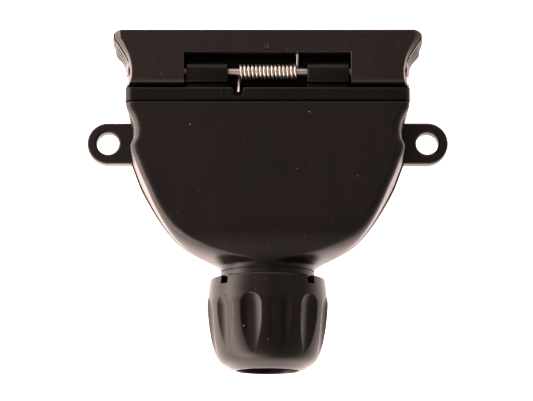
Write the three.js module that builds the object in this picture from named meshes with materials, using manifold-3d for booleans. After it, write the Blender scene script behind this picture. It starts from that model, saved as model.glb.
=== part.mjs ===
// Flat multi-way trailer socket: base with two mounting ears, bell-shaped rear shell with a
// cable gland, front frame with the plug mouth, and a sprung lid on a hinge pin.
// Millimetres, +Z up. Origin: midway between the two ear holes, on the mounting plane.
// +Y is the plug side (lid), -Y the cable side (gland), +X to the right seen from above.
import * as THREE from 'three';
import { mergeVertices } from 'three/addons/utils/BufferGeometryUtils.js';
import Module from 'manifold-3d';

const wasm = await Module();
wasm.setup();

// ---- dimensions shared between pieces ------------------------------------------------------
// _W is a half width along X, _R a radius, _T a thickness.
const BODY_H = 30;             // mounting plane to top face
const AXIS_Z = 15;             // gland axis height
const BASE_T = 4.3;            // base and ears
const GAP = 0.3;               // clearance between neighbouring pieces
const SHELL_FLOOR = BASE_T + GAP;
const SEAM_Y = 5.2;            // front face of the rear shell
const BASE_REAR_Y = -31.3;
const FLANGE_Y0 = 5.7;         // rear face of the frame flange
const SPIGOT_W = 29.8;         // part of the frame that enters the rear shell
const BLOCK_W = 25;            // terminal block
const PIN_Y = 13.15;           // hinge axis
const PIN_Z = 27;
const WAYS = 7;                // number of contacts
const PITCH = 6.6;
const CONTACT_Z = 13.7;
const TERMINAL_Y = -9.8;       // row of terminal screws

const pairAt = (x, y) => [[-x, y], [x, y]];
const REAR_SCREWS = pairAt(16.5, -21.5);
const FRONT_SCREWS = pairAt(27.55, -0.4);
const BASE_SCREWS = [...FRONT_SCREWS, ...REAR_SCREWS];
const BLOCK_SCREWS = pairAt(22.2, -10);
const CONTACT_X = Array.from({ length: WAYS }, (_, i) => (i - (WAYS - 1) / 2) * PITCH);

// ---- solids --------------------------------------------------------------------------------
// Closed geometry to a manifold solid, turned right side out where needed.
function solid(geometry) {
  for (const name of Object.keys(geometry.attributes)) {
    if (name !== 'position') geometry.deleteAttribute(name);
  }
  geometry.clearGroups();
  const merged = mergeVertices(geometry, 1e-4);
  const positions = merged.attributes.position.array;
  const index = merged.index.array;
  const vertex = (i) => new THREE.Vector3().fromArray(positions, 3 * i);
  const triangles = [];
  let volume = 0;
  for (let i = 0; i < index.length; i += 3) {
    const [a, b, c] = [index[i], index[i + 1], index[i + 2]];
    if (a === b || b === c || a === c) continue;
    triangles.push(a, b, c);
    volume += vertex(a).dot(vertex(b).cross(vertex(c)));
  }
  if (volume < 0) {
    for (let i = 0; i < triangles.length; i += 3) {
      [triangles[i + 1], triangles[i + 2]] = [triangles[i + 2], triangles[i + 1]];
    }
  }
  return new wasm.Manifold(new wasm.Mesh({
    numProp: 3,
    vertProperties: Float32Array.from(positions),
    triVerts: Uint32Array.from(triangles),
  }));
}
const cut = (whole, ...parts) => parts.reduce((rest, part) => rest.subtract(part), whole);
const join = (first, ...parts) => parts.reduce((sum, part) => sum.add(part), first);

// Ranges are [from, to] along one axis.
const across = (halfWidth) => [-halfWidth, halfWidth];
const bothSides = ([near, far]) => [[-far, -near], [near, far]];
const middle = ([from, to]) => (from + to) / 2;
const span = ([from, to]) => to - from;

function box(xRange, yRange, zRange) {
  const geometry = new THREE.BoxGeometry(span(xRange), span(yRange), span(zRange));
  geometry.translate(middle(xRange), middle(yRange), middle(zRange));
  return solid(geometry);
}
// Round rods along each axis.
function rodX(radius, range, y, z, segments) {
  const geometry = new THREE.CylinderGeometry(radius, radius, span(range), segments);
  geometry.rotateZ(Math.PI / 2);
  geometry.translate(middle(range), y, z);
  return solid(geometry);
}
function rodY(radius, range, x, z, segments) {
  const geometry = new THREE.CylinderGeometry(radius, radius, span(range), segments);
  geometry.translate(x, middle(range), z);
  return solid(geometry);
}
function rodZ(radius, range, x, y, segments) {
  const geometry = new THREE.CylinderGeometry(radius, radius, span(range), segments);
  geometry.rotateX(Math.PI / 2);
  geometry.translate(x, y, middle(range));
  return solid(geometry);
}
const lathe = (profile, segments) =>
  new THREE.LatheGeometry(profile.map((point) => new THREE.Vector2(...point)), segments);
// Turned about a line along Y; profile is [radius, y] pairs.
const turnedY = (profile, x, z, segments) => solid(lathe(profile, segments).translate(x, 0, z));
// Turned about a vertical line; profile is [radius, z] pairs.
const turnedZ = (profile, x, y, segments) =>
  solid(lathe(profile, segments).rotateX(Math.PI / 2).translate(x, y, 0));

// Skin over a row of closed rings with the same number of points each.
function loft(rings) {
  const count = rings[0].length;
  const steps = rings.length - 1;
  const geometry = new THREE.CylinderGeometry(1, 1, 1, count, steps);
  const position = geometry.attributes.position;
  const centres = rings.map((ring) =>
    ring.reduce((sum, point) => sum.add(point), new THREE.Vector3()).divideScalar(count));
  for (let i = 0; i < position.count; i++) {
    const x = position.getX(i);
    const z = position.getZ(i);
    const row = Math.round((0.5 - position.getY(i)) * steps);
    const turn = Math.round(Math.atan2(x, z) / (2 * Math.PI) * count);
    const column = ((turn % count) + count) % count;
    const point = Math.hypot(x, z) > 0.5 ? rings[row][column] : centres[row];
    position.setXYZ(i, point.x, point.y, point.z);
  }
  return solid(geometry);
}

// ---- outlines ------------------------------------------------------------------------------
const radians = THREE.MathUtils.degToRad;
const clampShare = (value) => Math.min(1, Math.max(0, value));

// Points on an arc; start and sweep in degrees.
function arc(centreA, centreB, radius, start, sweep, steps) {
  return Array.from({ length: steps + 1 }, (_, i) => {
    const angle = radians(start + sweep * i / steps);
    return [centreA + radius * Math.cos(angle), centreB + radius * Math.sin(angle)];
  });
}
// Rounded rectangle as [x, z] pairs, with its own radius for top and bottom corners.
function rounded(halfWidth, [z0, z1], top, bottom, steps) {
  return [
    ...arc(halfWidth - top, z1 - top, top, 0, 90, steps),
    ...arc(-halfWidth + top, z1 - top, top, 90, 90, steps),
    ...arc(-halfWidth + bottom, z0 + bottom, bottom, 180, 90, steps),
    ...arc(halfWidth - bottom, z0 + bottom, bottom, 270, 90, steps),
  ];
}
// Rounded rectangle whose half width changes from the top to the foot.
function leaning(topWidth, footWidth, [z0, z1], top, bottom, steps) {
  return rounded(topWidth, [z0, z1], top, bottom, steps).map(([x, z]) => {
    const drop = clampShare((z1 - top - z) / (z1 - top - z0));
    const outward = Math.min(1, Math.abs(x) / (topWidth * 0.6));
    return [x - Math.sign(x) * (topWidth - footWidth) * drop * outward, z];
  });
}
const ringAt = (y, points) => points.map(([x, z]) => new THREE.Vector3(x, y, z));

function extrude(points, depth, holes) {
  const outer = points.map((point) => new THREE.Vector2(...point));
  if (THREE.ShapeUtils.area(outer) < 0) outer.reverse();
  const shape = new THREE.Shape(outer);
  for (const hole of holes) {
    shape.holes.push(new THREE.Path(hole.map((point) => new THREE.Vector2(...point))));
  }
  return new THREE.ExtrudeGeometry(shape, { depth, bevelEnabled: false });
}
// [x, z] outline along Y.
const plate = (points, range, holes = []) =>
  solid(extrude(points, span(range), holes).rotateX(Math.PI / 2).translate(0, range[1], 0));
// [x, y] outline along Z.
const slab = (points, range, holes = []) =>
  solid(extrude(points, span(range), holes).translate(0, 0, range[0]));
// [y, z] outline along X.
function side(points, range) {
  const turn = new THREE.Matrix4().set(0, 0, 1, range[0], 1, 0, 0, 0, 0, 1, 0, 0, 0, 0, 0, 1);
  return solid(extrude(points, span(range), []).applyMatrix4(turn));
}

// Smooth interpolation in a table of [place, value] rows sorted by place.
function table(rows, place) {
  const last = rows.length - 1;
  if (place <= rows[0][0]) return rows[0][1];
  if (place >= rows[last][0]) return rows[last][1];
  let i = 0;
  while (rows[i + 1][0] < place) i++;
  const rise = (k) => (rows[k + 1][1] - rows[k][1]) / (rows[k + 1][0] - rows[k][0]);
  const slope = (k) => {
    if (k === 0) return rise(0);
    if (k === last) return rise(last - 1);
    const before = rise(k - 1);
    const after = rise(k);
    return before * after <= 0 ? 0 : 2 * before * after / (before + after);
  };
  const step = rows[i + 1][0] - rows[i][0];
  const t = (place - rows[i][0]) / step;
  return (2 * t ** 3 - 3 * t ** 2 + 1) * rows[i][1]
    + (t ** 3 - 2 * t ** 2 + t) * step * slope(i)
    + (-2 * t ** 3 + 3 * t ** 2) * rows[i + 1][1]
    + (t ** 3 - t ** 2) * step * slope(i + 1);
}

// ---- bell of the rear shell ----------------------------------------------------------------
// [y, half width] near the top.
const BELL_W = [
  [-40, 11.4], [-33.9, 11.4], [-33.13, 11.75], [-32.5, 12.9], [-31.9, 14.9], [-31.2, 16.8],
  [-29.76, 19.4], [-27.09, 22.5], [-22.63, 25.6], [-18.15, 27.9], [-15.7, 28.95],
  [-11.7, 30.75], [-8.6, 31.95], [-6.6, 32.75], [-5.4, 32.95], [-4.5, 32.75], [-3.3, 32.15],
  [-1.6, 31.95], [0, 32.15], [1.7, 32.75], [3.3, 33.7], [4.3, 34.15], [6, 34.3],
];
// [y, half width] at the foot.
const FOOT_W = [
  [-40, 11.4], [-31.2, 11.4], [-30.43, 11.75], [-29.8, 12.9], [-29.2, 15.0], [-28.5, 17.0],
  [-27.06, 19.7], [-24.39, 22.95], [-19.93, 26.5], [-15.45, 29.3], [-11.5, 31.4],
  [-7.1, 33.1], [-4.6, 34.0], [-2.8, 34.4], [-1.2, 34.3], [0.4, 33.75], [1.8, 33.45],
  [3.2, 33.6], [4.3, 34.2], [6, 34.4],
];
// [y, top height].
const BELL_TOP = [
  [-40, 26.4], [-34.1, 26.4], [-33.4, 26.55], [-32.4, 26.95], [-31, 27.6], [-29.5, 28.35],
  [-28, 29.05], [-26.5, 29.6], [-25, 29.9], [-23, 30], [6, 30],
];
// [y, top corner radius].
const BELL_CORNER = [
  [-40, 11.2], [-33.9, 11.2], [-32.4, 11.0], [-31.5, 9.5], [-30.5, 7.6], [-29, 5.6],
  [-27, 4.0], [-24, 2.9], [-20, 2.3], [-15, 2.1], [6, 2.1],
];
const BELL_STATIONS = [
  SEAM_Y, 4.3, 3.0, 1.7, 0.2, -1.5, -3.3, -4.5, -5.6, -8.5, -12, -16, -20, -23.4, -26.2,
  -28.6, -30.5, -31.85, -32.6, -33.3, -34.1,
];
const footW = (y) => table(FOOT_W, y);

function bellRing(y) {
  const width = table(BELL_W, y);
  const top = table(BELL_TOP, y);
  const topCorner = Math.min(table(BELL_CORNER, y), width * 0.98, (2 * top - BODY_H) * 0.49);
  // The bottom corners round off only at the far rear, towards the neck.
  const bottomCorner = y > -31.4 ? 0.6
    : Math.min(0.6 + (-31.4 - y) / 2.2 * 8.4, 9.0, width * 0.9);
  const heights = [BODY_H - top, top];
  return ringAt(y, leaning(width, footW(y), heights, topCorner, bottomCorner, 4));
}

const FOOT_STATIONS = [4.6, 3.6, 2.6, 1.6, 0.4, -1.2, -2.8, -4.6, -8.3, -13.1, -18.2, -22.6,
  -26, -27.8, -29.2, -30.2];
// Plan outline of the bell at its foot, moved in by inset, between two Y positions.
function footOutline(inset, front, rear) {
  const inner = FOOT_STATIONS.filter((y) => y < front - 0.05 && y > rear + 0.05);
  const right = [front, ...inner, rear].map((y) => [footW(y) - inset, y]);
  return [...right, ...right.map(([x, y]) => [-x, y]).reverse()];
}

// ---- rear shell ----------------------------------------------------------------------------
const WALL = 2.4;
const NECK_R = 11.5;
const THREAD_R = 11.4;
const NECK_END = -47.5;
const BORE_R = 8.6;            // grommet bore in the neck
const CABLE_HOLE_R = 7;        // from the bore into the cavity
const BOSS_R = 3.3;
const CAVITY_STATIONS = [6.5, 4.3, 2.6, -0.6, -4.6, -8.3, -13.1, -18.2, -22.6, -26, -28.2];
// Cone that carries the neck into the top face; [radius, y].
const HUB = [[0, -34.15], [11.35, -34.15], [11.47, -33.4], [11.85, -32.4], [12.5, -31.0],
  [13.2, -29.5], [13.8, -28.0], [0, -28.0]];
// [radius, y], from the bell to the free end.
const NECK = [
  [0, -33.9], [NECK_R - 0.35, -33.9], [NECK_R - 0.35, -34.3], [NECK_R, -34.45],
  [NECK_R, -36.1], [THREAD_R - 0.5, -36.4], [THREAD_R - 0.5, -37], [THREAD_R, -37.4],
  [THREAD_R, NECK_END + 0.6], [THREAD_R - 0.6, NECK_END], [0, NECK_END],
];

function cavityRing(y) {
  const station = Math.min(y, 5);
  // The wall thins at the waist to clear the frame's spigot.
  const roomW = (outside) =>
    (y > -4.2 ? Math.max(outside - WALL, SPIGOT_W + 0.4) : outside - WALL);
  const rearSlope = y < -24 ? (-24 - y) * 0.35 : 0;
  const heights = [-3, table(BELL_TOP, y) - WALL - rearSlope];
  const [topW, bottomW] = [roomW(table(BELL_W, station)), roomW(footW(station))];
  return ringAt(y, leaning(topW, bottomW, heights, 1.6, 0.5, 1));
}

function makeRearShell() {
  const outside = join(
    loft(BELL_STATIONS.map(bellRing)),
    turnedY(NECK, 0, AXIS_Z, 32),
    turnedY(HUB, 0, AXIS_Z, 40));
  const bosses = REAR_SCREWS.map(([x, y]) => rodZ(BOSS_R, [SHELL_FLOOR, 28.5], x, y, 14));
  return cut(
    join(cut(outside, loft(CAVITY_STATIONS.map(cavityRing))), ...bosses),
    box(across(60), [BASE_REAR_Y - GAP, 20], [-5, SHELL_FLOOR]),
    rodY(CABLE_HOLE_R, [-39, -20], 0, AXIS_Z, 24),
    rodY(BORE_R, [-60, -38.5], 0, AXIS_Z, 24),
    ...REAR_SCREWS.map(([x, y]) => rodZ(1.6, [0, 15], x, y, 12)));
}

// ---- base with ears ------------------------------------------------------------------------
const EAR_X = 40;              // ear hole centres at +-40
const EAR_R = 5.2;             // ear end radius
const EAR_HOLE_R = 2.8;        // clearance hole for an M5 screw
const EAR_ROOT_X = 29;         // where the ear is buried in the base
const THROUGH_BASE = [-1, 6];

function ear(sign) {
  const outline = [
    ...arc(EAR_X, 0, EAR_R, -90, 180, 16), [EAR_ROOT_X, EAR_R], [EAR_ROOT_X, -EAR_R],
  ];
  return slab(outline.map(([x, y]) => [sign * x, y]), [0, BASE_T]);
}

function makeBase() {
  const blank = join(slab(footOutline(-0.35, 5.0, BASE_REAR_Y), [0, BASE_T]), ear(1), ear(-1));
  return cut(
    blank,
    rodZ(EAR_HOLE_R, THROUGH_BASE, EAR_X, 0, 28),
    rodZ(EAR_HOLE_R, THROUGH_BASE, -EAR_X, 0, 28),
    ...BASE_SCREWS.flatMap(([x, y]) => [
      rodZ(1.7, THROUGH_BASE, x, y, 12),
      rodZ(3.0, [-1, 2.9], x, y, 16),      // counterbore for the head
    ]),
    box(across(11), [-24, -6], [-1, 0.8])); // shallow relief in the underside
}

// ---- gaskets -------------------------------------------------------------------------------
const makeBodyGasket = () =>
  slab(footOutline(0.9, 4.8, -30.4), [BASE_T, SHELL_FLOOR], [footOutline(2.2, 3.4, -28.9)]);
const makeFrameGasket = () => plate(
  rounded(33.5, [0.8, 27.6], 2.0, 0.6, 4),
  [SEAM_Y, FLANGE_Y0],
  [rounded(30.3, [4.0, 23.3], 0.8, 0.8, 2)]);

// ---- front frame ---------------------------------------------------------------------------
const FLANGE_Y1 = 8.9;
const FLANGE_TOP = 29.6;
const COLLAR_Y = 11.2;         // front of the thicker lower part of the flange
const TUBE_W = 32.2;           // mouth tube outside
const TUBE_TOP = 22.85;
const FRAME_FRONT = 19.4;
const MOUTH_W = 24;
const MOUTH_Z0 = 7.4;
const MOUTH_Z1 = 20;
const SHELF_TOP = 6.6;         // shelf under the terminal block
const KNUCKLE_R = 2.45;
const KNUCKLE_X = [9.6, 19.7];
const POCKETS_X = [[1.2, 13.2], [15.4, 27.4]];   // underside pockets, repeated on the left
const RIB_X = [9.4, 11];       // ribs on the mouth ceiling
// Side section of the flange, [y, z], with the collar low down where the tube starts.
const FLANGE_SECTION = [
  [FLANGE_Y0, -1], [COLLAR_Y, -1], [COLLAR_Y, 22.3], [COLLAR_Y - 0.4, 22.9],
  [FLANGE_Y1 + 0.5, 25.0], [FLANGE_Y1, 26.4], [FLANGE_Y1, FLANGE_TOP - 0.5],
  [FLANGE_Y1 - 0.15, FLANGE_TOP - 0.15], [FLANGE_Y1 - 0.5, FLANGE_TOP],
  [FLANGE_Y0 + 0.2, FLANGE_TOP], [FLANGE_Y0, FLANGE_TOP - 0.2],
];
// Side section of a knuckle block and its web to the flange, [y, z].
const KNUCKLE_SECTION = [
  [FLANGE_Y1 - 1, 22], [PIN_Y + 3.2, 22], [PIN_Y + 2.6, PIN_Z - 1.6],
  [PIN_Y + KNUCKLE_R - 0.03, PIN_Z - 0.2], [PIN_Y, PIN_Z + KNUCKLE_R - 0.03],
  [PIN_Y - 2.1, PIN_Z + KNUCKLE_R - 0.06], [PIN_Y - 2.8, 29.1], [PIN_Y - 3.1, 28.5],
  [PIN_Y - 3.15, 27.4], [FLANGE_Y1 - 1, 27.2],
];

function makeFrame() {
  const flange = plate(rounded(34.4, [0, 29.7], 2.4, 0.6, 5), [FLANGE_Y0, COLLAR_Y])
    .intersect(side(FLANGE_SECTION, across(40)));
  const body = join(
    flange,
    plate(rounded(TUBE_W, [0, TUBE_TOP], 2.2, 1.0, 4), [FLANGE_Y0 + 1, FRAME_FRONT]),
    box(across(SPIGOT_W), [-3.0, FLANGE_Y0 + 1], [SHELL_FLOOR, 22.8]),
    box(across(25), [-13, 0], [SHELL_FLOOR, SHELF_TOP]),
    ...bothSides(KNUCKLE_X).flatMap((range) => [
      rodX(KNUCKLE_R, range, PIN_Y, PIN_Z, 24),
      side(KNUCKLE_SECTION, range),
    ]));
  const opened = cut(
    body,
    plate(rounded(MOUTH_W, [MOUTH_Z0, MOUTH_Z1], 1.2, 1.2, 3), [4.0, 40]),
    box(across(BLOCK_W + GAP), [-30, 4.3], [SHELF_TOP, 20.8]),
    rodX(1.2, across(30), PIN_Y, PIN_Z, 20),
    box([-8.4, -5.9], [6.8, 12], [26.1, 32]),      // pocket for the spring's rear leg
    ...POCKETS_X.flatMap(bothSides).map((range) => box(range, [8.0, 17.2], [-1, 5.0])),
    ...FRONT_SCREWS.map(([x, y]) => rodZ(1.6, [0, 15], x, y, 16)));
  const ribs = bothSides(RIB_X).map((range) =>
    box(range, [6.5, 18.6], [MOUTH_Z1 - 0.9, MOUTH_Z1 + 0.5]));
  const screwHoles = BLOCK_SCREWS.flatMap(([x, y]) => [
    rodZ(1.3, [0, 8], x, y, 12),
    rodZ(2.4, [0, 5.9], x, y, 14),
  ]);
  return cut(join(opened, ...ribs), ...screwHoles);
}

// ---- terminal block, contacts and terminal screws ------------------------------------------
function makeBlock() {
  return cut(
    box(across(BLOCK_W), [-14, 4.0], [6.9, 20.5]),
    ...CONTACT_X.flatMap((x) => [
      rodY(1.5, [2, 6], x, CONTACT_Z, 10),
      rodY(2.2, [-7, 2.6], x, CONTACT_Z, 12),
      rodY(2.75, [-20, -6], x, CONTACT_Z, 12),
      rodZ(1.95, [CONTACT_Z, 30], x, TERMINAL_Y, 10),
    ]),
    ...BLOCK_SCREWS.map(([x, y]) => rodZ(1.3, [0, 10.5], x, y, 10)),
    box(across(BLOCK_W + 1), [-20, -6.5], [18.9, 25]));  // lower step at the top rear
}

// [radius, y]
const CONTACT = [[1.25, 2.3], [1.9, 2.1], [1.9, -5.9], [2.4, -6.4], [2.4, -13], [1.3, -13],
  [1.25, 2.3]];
const makeContact = (x) => cut(
  turnedY(CONTACT, x, CONTACT_Z, 10),
  rodZ(1.3, [CONTACT_Z, 20], x, TERMINAL_Y, 10));

// [radius, z]
const TERMINAL_SCREW = [[0, 12.9], [1.0, 12.9], [1.0, 16.6], [1.6, 16.6], [1.6, 18.3], [0, 18.3]];
const makeTerminalScrew = (x) => cut(
  turnedZ(TERMINAL_SCREW, x, TERMINAL_Y, 10),
  box([x - 0.25, x + 0.25], [-12, -7], [17.5, 19]));

// ---- machine screws, heads down; profiles are [radius, z] ----------------------------------
const BASE_SCREW_TOP = 14;
const BASE_SCREW = [[0, 1.0], [2.1, 1.0], [2.5, 1.5], [2.5, 2.6], [1.3, 2.6],
  [1.3, BASE_SCREW_TOP], [0, BASE_SCREW_TOP]];
const BLOCK_SCREW = [[0, 4.7], [1.8, 4.7], [2.1, 5.0], [2.1, 5.6], [1.0, 5.6], [1.0, 10.1],
  [0, 10.1]];

function makeBaseScrew([x, y]) {
  const crossBar = (halfX, halfY) =>
    box([x - halfX, x + halfX], [y - halfY, y + halfY], [0, 1.9]);
  return cut(turnedZ(BASE_SCREW, x, y, 14), crossBar(1.5, 0.3).add(crossBar(0.3, 1.5)));
}
const makeBlockScrew = ([x, y]) => cut(
  turnedZ(BLOCK_SCREW, x, y, 12),
  box([x - 2.6, x + 2.6], [y - 0.25, y + 0.25], [4, 5.15]));

// ---- lid -----------------------------------------------------------------------------------
const LID_FRONT = 23.1;
const LID_PANEL_T = 2.8;       // top panel
const LID_IN_W = 32.8;
const LID_IN_Y = 20.4;         // inner face of the front panel
const WINDOW_W = 20.1;         // opening in the top panel around the hinge
const WINDOW_Y = 17.4;
const SWELL = 0.85;            // extra width where the side turns outwards
// The hinge barrel is a rounded square, measured from the pin.
const BARREL_FRONT = 3.1;
const BARREL_REAR = 3.5;
const BARREL_DROP = 3;
const BARREL_CORNER = 2;       // top rear and bottom front
const BARREL_HEEL = 1.8;       // bottom rear corner
// Side line of the top face: [y, half width].
const LID_SIDE = [[9.6, 33.15], [11.2, 32.83], [12.9, 32.77], [14.9, 33.04], [16.9, 33.56],
  [18.15, 34.13], [20.0, 35.0], [21.1, 35.6], [23.4, 35.75]];
const LID_STATIONS = [9.5, 11.2, 12.6, 13.8, 15.0, 16.2, 17.4, 18.6, 19.7];
// Sideways growth, [z, growth]: at the hinge, and near the front.
const GROW_HINGE = [[0.8, -0.8], [1.4, -0.45], [12, -0.3], [19.5, -0.2], [19.9, 1.7],
  [20.5, 1.75], [23.7, 1.3], [25.6, 1.0], [27.3, 0.7], [28.3, 0.4], [29.75, 0.04], [30, -0.2]];
const GROW_FRONT = [[0.8, -0.8], [1.4, -0.45], [12, -0.3], [19.5, -0.2], [19.9, 2.15],
  [20.5, 2.2], [23.7, 2.1], [25.6, 1.95], [27.3, 1.75], [28.3, 1.35], [29.75, 0.14], [30, -0.2]];
// Height levels from the top down: [z, depth of the side groove, growth to the front].
const LID_LEVELS = [
  [30, 0, -0.3], [29.75, 0, 0], [29.0, 0, 0], [28.35, 0, 0], [28.2, 0.95, 0],
  [27.5, 0.95, 0], [27.3, 0, 0], [26.3, 0, 0], [26.1, 0.46, 0], [25.8, 0.46, 0],
  [25.6, 0, 0], [24.8, 0, 0], [24.6, 0.46, 0], [24.3, 0.46, 0], [24.1, 0, 0],
  [23.2, 0, 0], [23.0, 0.46, 0], [22.7, 0.46, 0], [22.5, 0, 0], [21.6, 0, 0],
  [21.3, 0.7, 0], [20.8, 0.7, 0], [20.5, 0, 0], [19.9, 0, 0], [19.5, 0, 0],
  [12, 0, -0.1], [1.4, 0, -0.25], [0.8, 0, -0.7],
];

function lidRing([z, groove, frontGrowth]) {
  const sideX = (y) => {
    const forward = clampShare((y - 15.5) / 6);
    const swell = SWELL * Math.exp(-(((y - 18.3) / 1.5) ** 2))
      * clampShare((z - 19.5) / 0.4) * clampShare((26.5 - z) / 5);
    return table(LID_SIDE, y) + table(GROW_HINGE, z) * (1 - forward)
      + table(GROW_FRONT, z) * forward + swell - groove * clampShare((y - 15.2) / 1.4);
  };
  // Nearly sharp corner at the top face, full radius lower down.
  const corner = z > 29.9 ? 0.4 : Math.min(1.5, 0.5 + (30 - z) * 0.2);
  const cornerY = LID_FRONT + frontGrowth - corner;
  const right = [
    ...LID_STATIONS.map((y) => [sideX(y), y]),
    ...arc(sideX(cornerY) - corner, cornerY, corner, 0, 90, 3),
  ];
  const left = right.map(([x, y]) => [-x, y]).reverse();
  return [...right, ...left].map(([x, y]) => new THREE.Vector3(x, y, z));
}

function barrelSection() {
  const [front, rear, bottom] = [PIN_Y + BARREL_FRONT, PIN_Y - BARREL_REAR, PIN_Z - BARREL_DROP];
  const [corner, heel] = [BARREL_CORNER, BARREL_HEEL];
  return [
    [front, BODY_H + 1],
    [rear + corner, BODY_H + 1],
    ...arc(rear + corner, BODY_H + 0.06 - corner, corner, 90, 90, 4),
    ...arc(rear + heel, bottom + heel, heel, 180, 90, 4),
    ...arc(front - corner, bottom + corner, corner, 270, 90, 4),
  ];
}

// Seal band; clearance widens it on both edges to make its groove.
const sealBand = (yRange, clearance) => plate(
  rounded(29.4 + clearance, [3.6 - clearance, 22.8 + clearance], 2.6 + clearance,
    2.6 + clearance, 4),
  yRange,
  [rounded(26.8 - clearance, [6.1 + clearance, 20.9 - clearance], 1.2 - clearance,
    1.2 - clearance, 4)]);
const makeLidSeal = () => sealBand([19.75, 21.0], 0);

// [y, z] sections
const LID_REAR_CUT = [[0, 50], [0, -5], [30, -5], [19.6, 0.4], [17.6, 8], [PIN_Y, 20.5],
  [PIN_Y, 50]];
const CATCH = [[18.2, 27.8], [21, 27.8], [21, 24.0], [20.0, 24.0]];

function makeLid() {
  const rearCut = side(LID_REAR_CUT, across(60))
    .subtract(box(across(60), [19.0, 60], [-10, 1.6]));
  const inside = box(across(LID_IN_W), [-5, LID_IN_Y], [-5, BODY_H - LID_PANEL_T]);
  // The barrel stays whole where the rear and the inside are cut away.
  const hollow = join(rearCut, inside).subtract(side(barrelSection(), across(70)));
  const shell = cut(loft(LID_LEVELS.map(lidRing)), hollow);
  return cut(
    join(shell, side(CATCH, across(6))),   // catch for the plug, inside the top panel
    box(across(WINDOW_W), [-5, WINDOW_Y], [20, 40]),
    rodX(1.25, across(50), PIN_Y, PIN_Z, 20),
    sealBand([19, 21.3], GAP));
}

// ---- hinge pin and torsion spring ----------------------------------------------------------
const PIN_R = 0.95;
const PIN_L = 65;
const makeHingePin = () => rodX(PIN_R, across(PIN_L / 2), PIN_Y, PIN_Z, 20);

const SPRING_R = 1.6;          // mean coil radius
const WIRE_R = 0.355;
const COILS = 15;
const COIL_PITCH = 0.935;
const SPRING_X0 = -6.87;       // coil start
// Both legs leave the coil from below: the left one rises back into the flange's pocket, the
// right one runs forward under the lid panel. Turn angles in degrees, 0 at the bottom.
const REAR_LEG = { turn: -27.7, length: 5.2 };
const FRONT_LEG = { turn: COILS * 360 + 12, length: 4.9 };
const LEG_STEPS = 5;
const LEG_DRIFT = 0.1;         // sideways run of a leg
const PATH_STEPS = COILS * 18;

const coilPoint = (turn) => new THREE.Vector3(
  SPRING_X0 + COIL_PITCH * turn / 360,
  PIN_Y + SPRING_R * Math.sin(radians(turn)),
  PIN_Z - SPRING_R * Math.cos(radians(turn)));

// Point on a leg; the share of its length is negative behind the coil.
function legPoint({ turn, length }, share) {
  const angle = radians(turn);
  const run = new THREE.Vector3(LEG_DRIFT, length * Math.cos(angle), length * Math.sin(angle));
  return coilPoint(turn).addScaledVector(run, share);
}

function springPoints() {
  const sweep = FRONT_LEG.turn - REAR_LEG.turn;
  const points = [];
  for (let i = LEG_STEPS; i >= 1; i--) points.push(legPoint(REAR_LEG, -i / LEG_STEPS));
  for (let i = 0; i <= PATH_STEPS; i++) {
    points.push(coilPoint(REAR_LEG.turn + sweep * i / PATH_STEPS));
  }
  for (let i = 1; i <= LEG_STEPS; i++) points.push(legPoint(FRONT_LEG, i / LEG_STEPS));
  return points;
}

// Straight segments through points, followed at even speed.
class PointPath extends THREE.Curve {
  constructor(points) {
    super();
    this.points = points;
    this.distances = [0];
    for (let i = 1; i < points.length; i++) {
      this.distances.push(this.distances[i - 1] + points[i].distanceTo(points[i - 1]));
    }
  }

  getPoint(t, target = new THREE.Vector3()) {
    const { points, distances } = this;
    const wanted = t * distances[distances.length - 1];
    let i = 1;
    while (i < distances.length - 1 && distances[i] < wanted) i++;
    const share = (wanted - distances[i - 1]) / (distances[i] - distances[i - 1]);
    return target.copy(points[i - 1]).lerp(points[i], clampShare(share));
  }
}

function makeSpring() {
  const hexagon = arc(0, 0, WIRE_R, 0, 300, 5).map((point) => new THREE.Vector2(...point));
  return solid(new THREE.ExtrudeGeometry(new THREE.Shape(hexagon), {
    steps: COILS * 9 + 8,
    bevelEnabled: false,
    extrudePath: new PointPath(springPoints()),
  }));
}

// ---- gland nut -----------------------------------------------------------------------------
const NUT_FRONT = -36.0;
const NUT_END = -58.3;
const NUT_BORE_R = 11.9;
const NUT_HOLE_R = 7.6;
const NUT_SEGMENTS = 72;
const NUT_SEGMENT_SHIFT = 0.8; // first facet edge, in segments
const FLUTES = 12;
const FLUTE_START = radians(14);
const FLUTE_FRONT = -40.7;     // wide end; the point is towards the cable
const FLUTE_L = 14.2;
const FLUTE_W = 2.675;
const FLUTE_TOOL_R = 3.6;
// [y, outer radius]
const NUT_R = [
  [NUT_END, 8.2], [-57.9, 8.95], [-57.4, 9.8], [-56.7, 10.93], [-55.7, 11.92],
  [-54.3, 12.66], [-52, 13.42], [-49.5, 13.92], [-47.3, 14.26], [-44, 14.59], [-42, 14.7],
  [-40.4, 14.5], [-38.5, 14.3], [-37, 14.1], [-36.2, 13.98], [NUT_FRONT, 13.8],
];
const NUT_STATIONS = [NUT_END, -57.9, -57.3, -56.6, -55.7, -54.6, -53.6, -52, -50, -48, -46,
  -44, -42.4, -41.4, -40.9, -40.5, -38.5, -36.8, -36.2, NUT_FRONT];
// [share of length from the wide end to the point, share of the widest half width]
const FLUTE_LINE = [[0, 0], [0.025, 0.52], [0.09, 0.83], [0.185, 1], [0.34, 1], [0.5, 0.94],
  [0.66, 0.8], [0.82, 0.565], [0.914, 0.365], [0.98, 0.16], [1, 0]];
// Hollow inside the nut, [radius, y].
const NUT_BORE = [
  [0, -35], [12.3, -35], [12.3, -36.3], [NUT_BORE_R, -36.8], [NUT_BORE_R, -49],
  [11.3, -49.6], [11.3, -53.4], [NUT_HOLE_R, -54.4], [NUT_HOLE_R, -60], [0, -60],
];
const NOTCH_ANGLES = [47.5, 132.5, 227.5, 312.5];

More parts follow.
